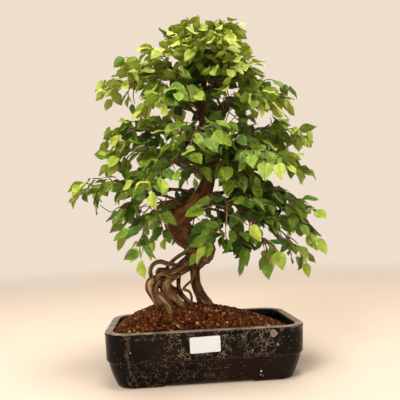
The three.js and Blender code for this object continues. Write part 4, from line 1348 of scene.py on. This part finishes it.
def tone_at(place, youth, chance):
    """Young leaves at the side tips are bright, and old ones inside are dark. Leaves high up are brighter,
    partly as young growth and partly as painted light on the upper crown.
    """
    height = (place[2] - CROWN_FOOT) / CROWN_HEIGHT
    aside = min(abs(place[0] - CROWN_MIDDLE) / CROWN_HALF_LENGTH, 1)
    young = (TONE_YOUTH + TONE_ASIDE * aside) * youth**YOUTH_POWER
    tone = TONE_LEAST + young + TONE_HEIGHT * height + TONE_TOP * height**3
    return min(max(tone + chance.gauss(0, TONE_SPREAD), TONE_RANGE[0]), TONE_RANGE[1])


def turn(k):
    """Leaves and twigs leave their stem to one side and to the other in turn."""
    return -1 if k % 2 else 1


def leaf_at(line, share, side, chance, tone):
    """How one leaf sits: it leaves its stem to one side, hangs, and faces up and outward."""
    base = line.at(share)
    ahead = line.ahead(share)
    beside = unit(np.cross(ahead, UP) + (1e-6, 0, 0))
    length = BLADE_LENGTH * chance.uniform(*LEAF_SIZES)
    for _ in range(LEAF_TRIES):
        spread = chance.uniform(-LEAF_ANGLE_SPREAD_DEG, LEAF_ANGLE_SPREAD_DEG)
        angle = math.radians(LEAF_ANGLE_DEG * abs(side) + spread)
        along = ahead * math.cos(angle) + beside * side * math.sin(angle)
        along = unit(along - UP * LEAF_DROOP * chance.uniform(*LEAF_DROOPS))
        if within_reach(base + along * (length + STALK_LENGTH)):
            break
        length *= LEAF_SHRINK
    outward = unit(np.array([base[0] - 5, base[1], 0.01]))
    facing = UP * 0.8 + outward * chance.uniform(0.0, 0.9)
    facing = facing + (chance.uniform(-1, 1), chance.uniform(-1, 1), 0)
    facing = unit(facing - along * (facing @ along))
    return base, along, facing, length, tone, chance


def side_twig(parent, share, side, rise, length, chance):
    """The centre line of a twig to one side of its parent, cut short to stay within reach."""
    start = parent.at(share)
    ahead = parent.ahead(share)
    beside = unit(np.cross(ahead, UP))
    angle = math.radians(TWIG_ANGLE_DEG + chance.uniform(-10, 10))
    heading = unit(ahead * math.cos(angle) + beside * side * math.sin(angle) + UP * rise)
    while length > TWIG_END_LENGTH / 2 and not within_reach(start + heading * (length + TWIG_MARGIN)):
        length *= 0.85
    kink = beside * chance.uniform(-1.5, 1.5)
    middle = start + heading * length / 2 + UP * length * 0.05 + kink
    return CentreLine([start, middle, start + heading * length - UP * length * TWIG_SAG])


def twig_radius(share):
    return TWIG_RADIUS * (1.15 - 0.5 * share)


# Leafy sprays


def stem_leaves(line, chance):
    leaves = []
    count = int((1 - WOOD_SHARE) * line.length / LEAF_PITCH_ON_STEM)
    for k in range(count):
        share = WOOD_SHARE + (1 - WOOD_SHARE) * (k + 0.5) / count
        tone = tone_at(line.at(share), share, chance)
        leaves.append(leaf_at(line, share, turn(k), chance, tone))
    tone = STEM_TIP_TONE + tone_at(line.at(1.0), 1.3, chance)
    leaves.append(leaf_at(line, 1.0, 0, chance, tone))
    return leaves


def twig_leaves(twig, length, share, chance):
    """Leaves along a twig that leaves its stem at a share, the last one at its tip."""
    leaves = []
    seats = int(length * (1 - TWIG_BARE_SHARE) / LEAF_PITCH_ON_TWIG)
    for seat in range(seats):
        place = TWIG_BARE_SHARE + TWIG_LEAFY_SHARE * seat / seats
        tone = tone_at(twig.at(place), 0.5 * share + 0.5 * place, chance)
        leaves.append(leaf_at(twig, place, -turn(seat), chance, tone))
    tone = TWIG_TIP_TONE + tone_at(twig.at(1.0), 0.5 + share / 2, chance)
    leaves.append(leaf_at(twig, 0.99, 0, chance, tone))
    return leaves


def add_twigs(maker, line, twigs, first_share, first_side, chance):
    """Twigs to both sides of a stem, shorter towards its tip. Gives their leaves."""
    leaves = []
    for k in range(twigs):
        progress = k / (twigs - 1)
        share = first_share + (TWIG_LAST_SHARE - first_share) * progress + chance.uniform(-0.03, 0.03)
        length = (TWIG_LENGTH + (TWIG_END_LENGTH - TWIG_LENGTH) * progress) * chance.uniform(0.85, 1.15)
        rise = chance.uniform(*TWIG_RISES)
        twig = side_twig(line, share, first_side * turn(k), rise, length, chance)
        add_tube(maker, twig, twig_radius, 4, 8, **AS_TWIG)
        leaves += twig_leaves(twig, length, share, chance)
    return leaves


def add_inner_twigs(maker, line, chance):
    """Short twigs near the trunk. Gives their few dark leaves."""
    leaves = []
    for k in range(INNER_TWIGS):
        share = INNER_FIRST_SHARE + (INNER_LAST_SHARE - INNER_FIRST_SHARE) * k / (INNER_TWIGS - 1)
        length = INNER_LENGTH * chance.uniform(0.6, 1.3)
        twig = side_twig(line, share, -turn(k), chance.uniform(*INNER_RISES), length, chance)
        add_tube(maker, twig, twig_radius, 4, 6, **AS_TWIG)
        for place in INNER_SEATS:
            side = chance.choice([-1, 0, 1])
            leaves.append(leaf_at(twig, place, side, chance, chance.uniform(*INNER_TONES)))
    return leaves


def grow_spray(name, line, radius_at, index):
    chance = random.Random(LEAF_SEED + index)
    maker = Maker()
    add_tube(maker, line, radius_at, 6, 5, WOOD_SHARE - 0.01, 1, **AS_TWIG)
    leaves = stem_leaves(line, chance)
    first_share = THIN_FIRST_SHARE if name in THIN_SPRAYS else TWIG_FIRST_SHARE
    twigs = THIN_SPRAYS.get(name, TWIG_COUNT)
    leaves += add_twigs(maker, line, twigs, first_share, -turn(len(leaves)), chance)
    if name not in THIN_SPRAYS:
        leaves += add_inner_twigs(maker, line, chance)
    add_leaves(maker, [leaf for leaf in leaves if not in_gap(leaf)])
    spray = maker.build(f"leaves_{name}")
    crease(spray.data)
    dress(spray, "leaf", LEAF, TWIG)
    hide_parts(f"spray_{name}")


def add_lone_twigs(branch_lines):
    chance = random.Random(LEAF_SEED)
    maker = Maker()
    leaves = []
    for branch, share, points, seats in LONE_TWIGS:
        line = CentreLine([branch_lines[branch][0].at(share), *points])
        add_tube(maker, line, twig_radius, 5, 4, **AS_TWIG)
        leaves += [leaf_at(line, seat, chance.choice([-1, 1]), chance, 0.5) for seat in seats]
    add_leaves(maker, leaves)
    twigs = maker.build("lone_twigs")
    crease(twigs.data)
    dress(twigs, "leaf", LEAF, TWIG)


def drop_leaf():
    """One leaf that lies on the soil in front of the roots."""
    maker = Maker()
    x, y = FALLEN_LEAF_PLACE
    base = np.array([x, y, mound_height(x, y) + GRANULE_RADIUS + FALLEN_LEAF_LIFT])
    along = unit(np.array([0.95, 0.28, 0.0]))
    add_leaves(maker, [(base, along, UP, FALLEN_LEAF_LENGTH, 0.1, random.Random(LEAF_SEED))])
    dress(maker.build("fallen_leaf"), "leaf", LEAF)


# Camera, light and floor


def make_camera():
    camera = bpy.data.objects.new("camera", bpy.data.cameras.new("camera"))
    camera.data.sensor_width = CAMERA_SENSOR
    camera.data.lens = CAMERA_LENS
    camera.data.clip_start = 0.01
    basis = Matrix((CAMERA_RIGHT, CAMERA_UP, -Vector(CAMERA_AHEAD))).transposed().to_4x4()
    camera.matrix_world = Matrix.Translation(Vector(CAMERA_PLACE) * MM) @ basis
    bpy.context.scene.collection.objects.link(camera)
    bpy.context.scene.camera = camera


def make_light(name, place, size, power, color):
    lamp = bpy.data.lights.new(name, "AREA")
    lamp.shape = "DISK"
    lamp.size = size
    lamp.energy = power
    lamp.color = color
    light = bpy.data.objects.new(name, lamp)
    light.location = place
    light.rotation_euler = (Vector(LIGHT_TARGET) - Vector(place)).to_track_quat("-Z", "Y").to_euler()
    bpy.context.scene.collection.objects.link(light)


def make_world():
    world = bpy.data.worlds.new("studio")
    world.use_nodes = True
    backdrop = world.node_tree.nodes["Background"]
    backdrop.inputs[0].default_value = (*BACKDROP, 1)
    backdrop.inputs[1].default_value = 1.0
    bpy.context.scene.world = world


def floor_material():
    """Lit near the part, and far off as bright as the backdrop."""
    m = Nodes("floor")
    x, y, _ = m.split(m.place())
    away = m.range(m.math("SQRT", m.sum(m.product(x, x), m.product(y, y))), 0.6, 2.6)
    m.color((*FLOOR_COLOR, 1))
    m.rough(0.8)
    glow = m.node("Emission", {"Color": (*BACKDROP, 1)})
    blend = m.node("MixShader", {0: away, 1: m.shader.outputs[0], 2: glow})
    m.feed(m.tree.nodes["Material Output"].inputs["Surface"], blend)
    return m.material


def make_floor():
    cosines, sines, _ = circle(FLOOR_SIDES)
    ring = np.stack([cosines, sines, np.zeros(FLOOR_SIDES)], 1) * FLOOR_RADIUS
    maker = Maker()
    maker.add(ring - (0, 0, FLOOR_SINK), [np.arange(FLOOR_SIDES)[None]])
    floor = maker.build("floor")
    floor.data.materials.append(floor_material())


GLAZE = glaze_material()
LEAF = leaf_material()
TWIG = twig_material()

make_camera()
make_world()
make_floor()
for light_name, settings in LIGHTS.items():
    make_light(light_name, *settings)
make_pot()
ROOT_LINES = [CentreLine(points) for points in ROOTS.values()]
make_soil(ROOT_LINES)
BRANCH_LINES = {}
for index, (name, (radius, *points)) in enumerate(BRANCHES.items()):
    BRANCH_LINES[name] = kinked_line(points, index), branch_radius(radius)
make_wood(ROOT_LINES, CentreLine(TRUNK), BRANCH_LINES)
for index, (name, (line, radius_at)) in enumerate(BRANCH_LINES.items()):
    grow_spray(name, line, radius_at, index)
add_lone_twigs(BRANCH_LINES)
drop_leaf()
dress_node("label", paper_material())
for side in ("left", "right"):
    dress_node(f"drain_screen_{side}", net_material())

view = bpy.context.scene.view_settings
view.view_transform = "Standard"
view.look = "None"
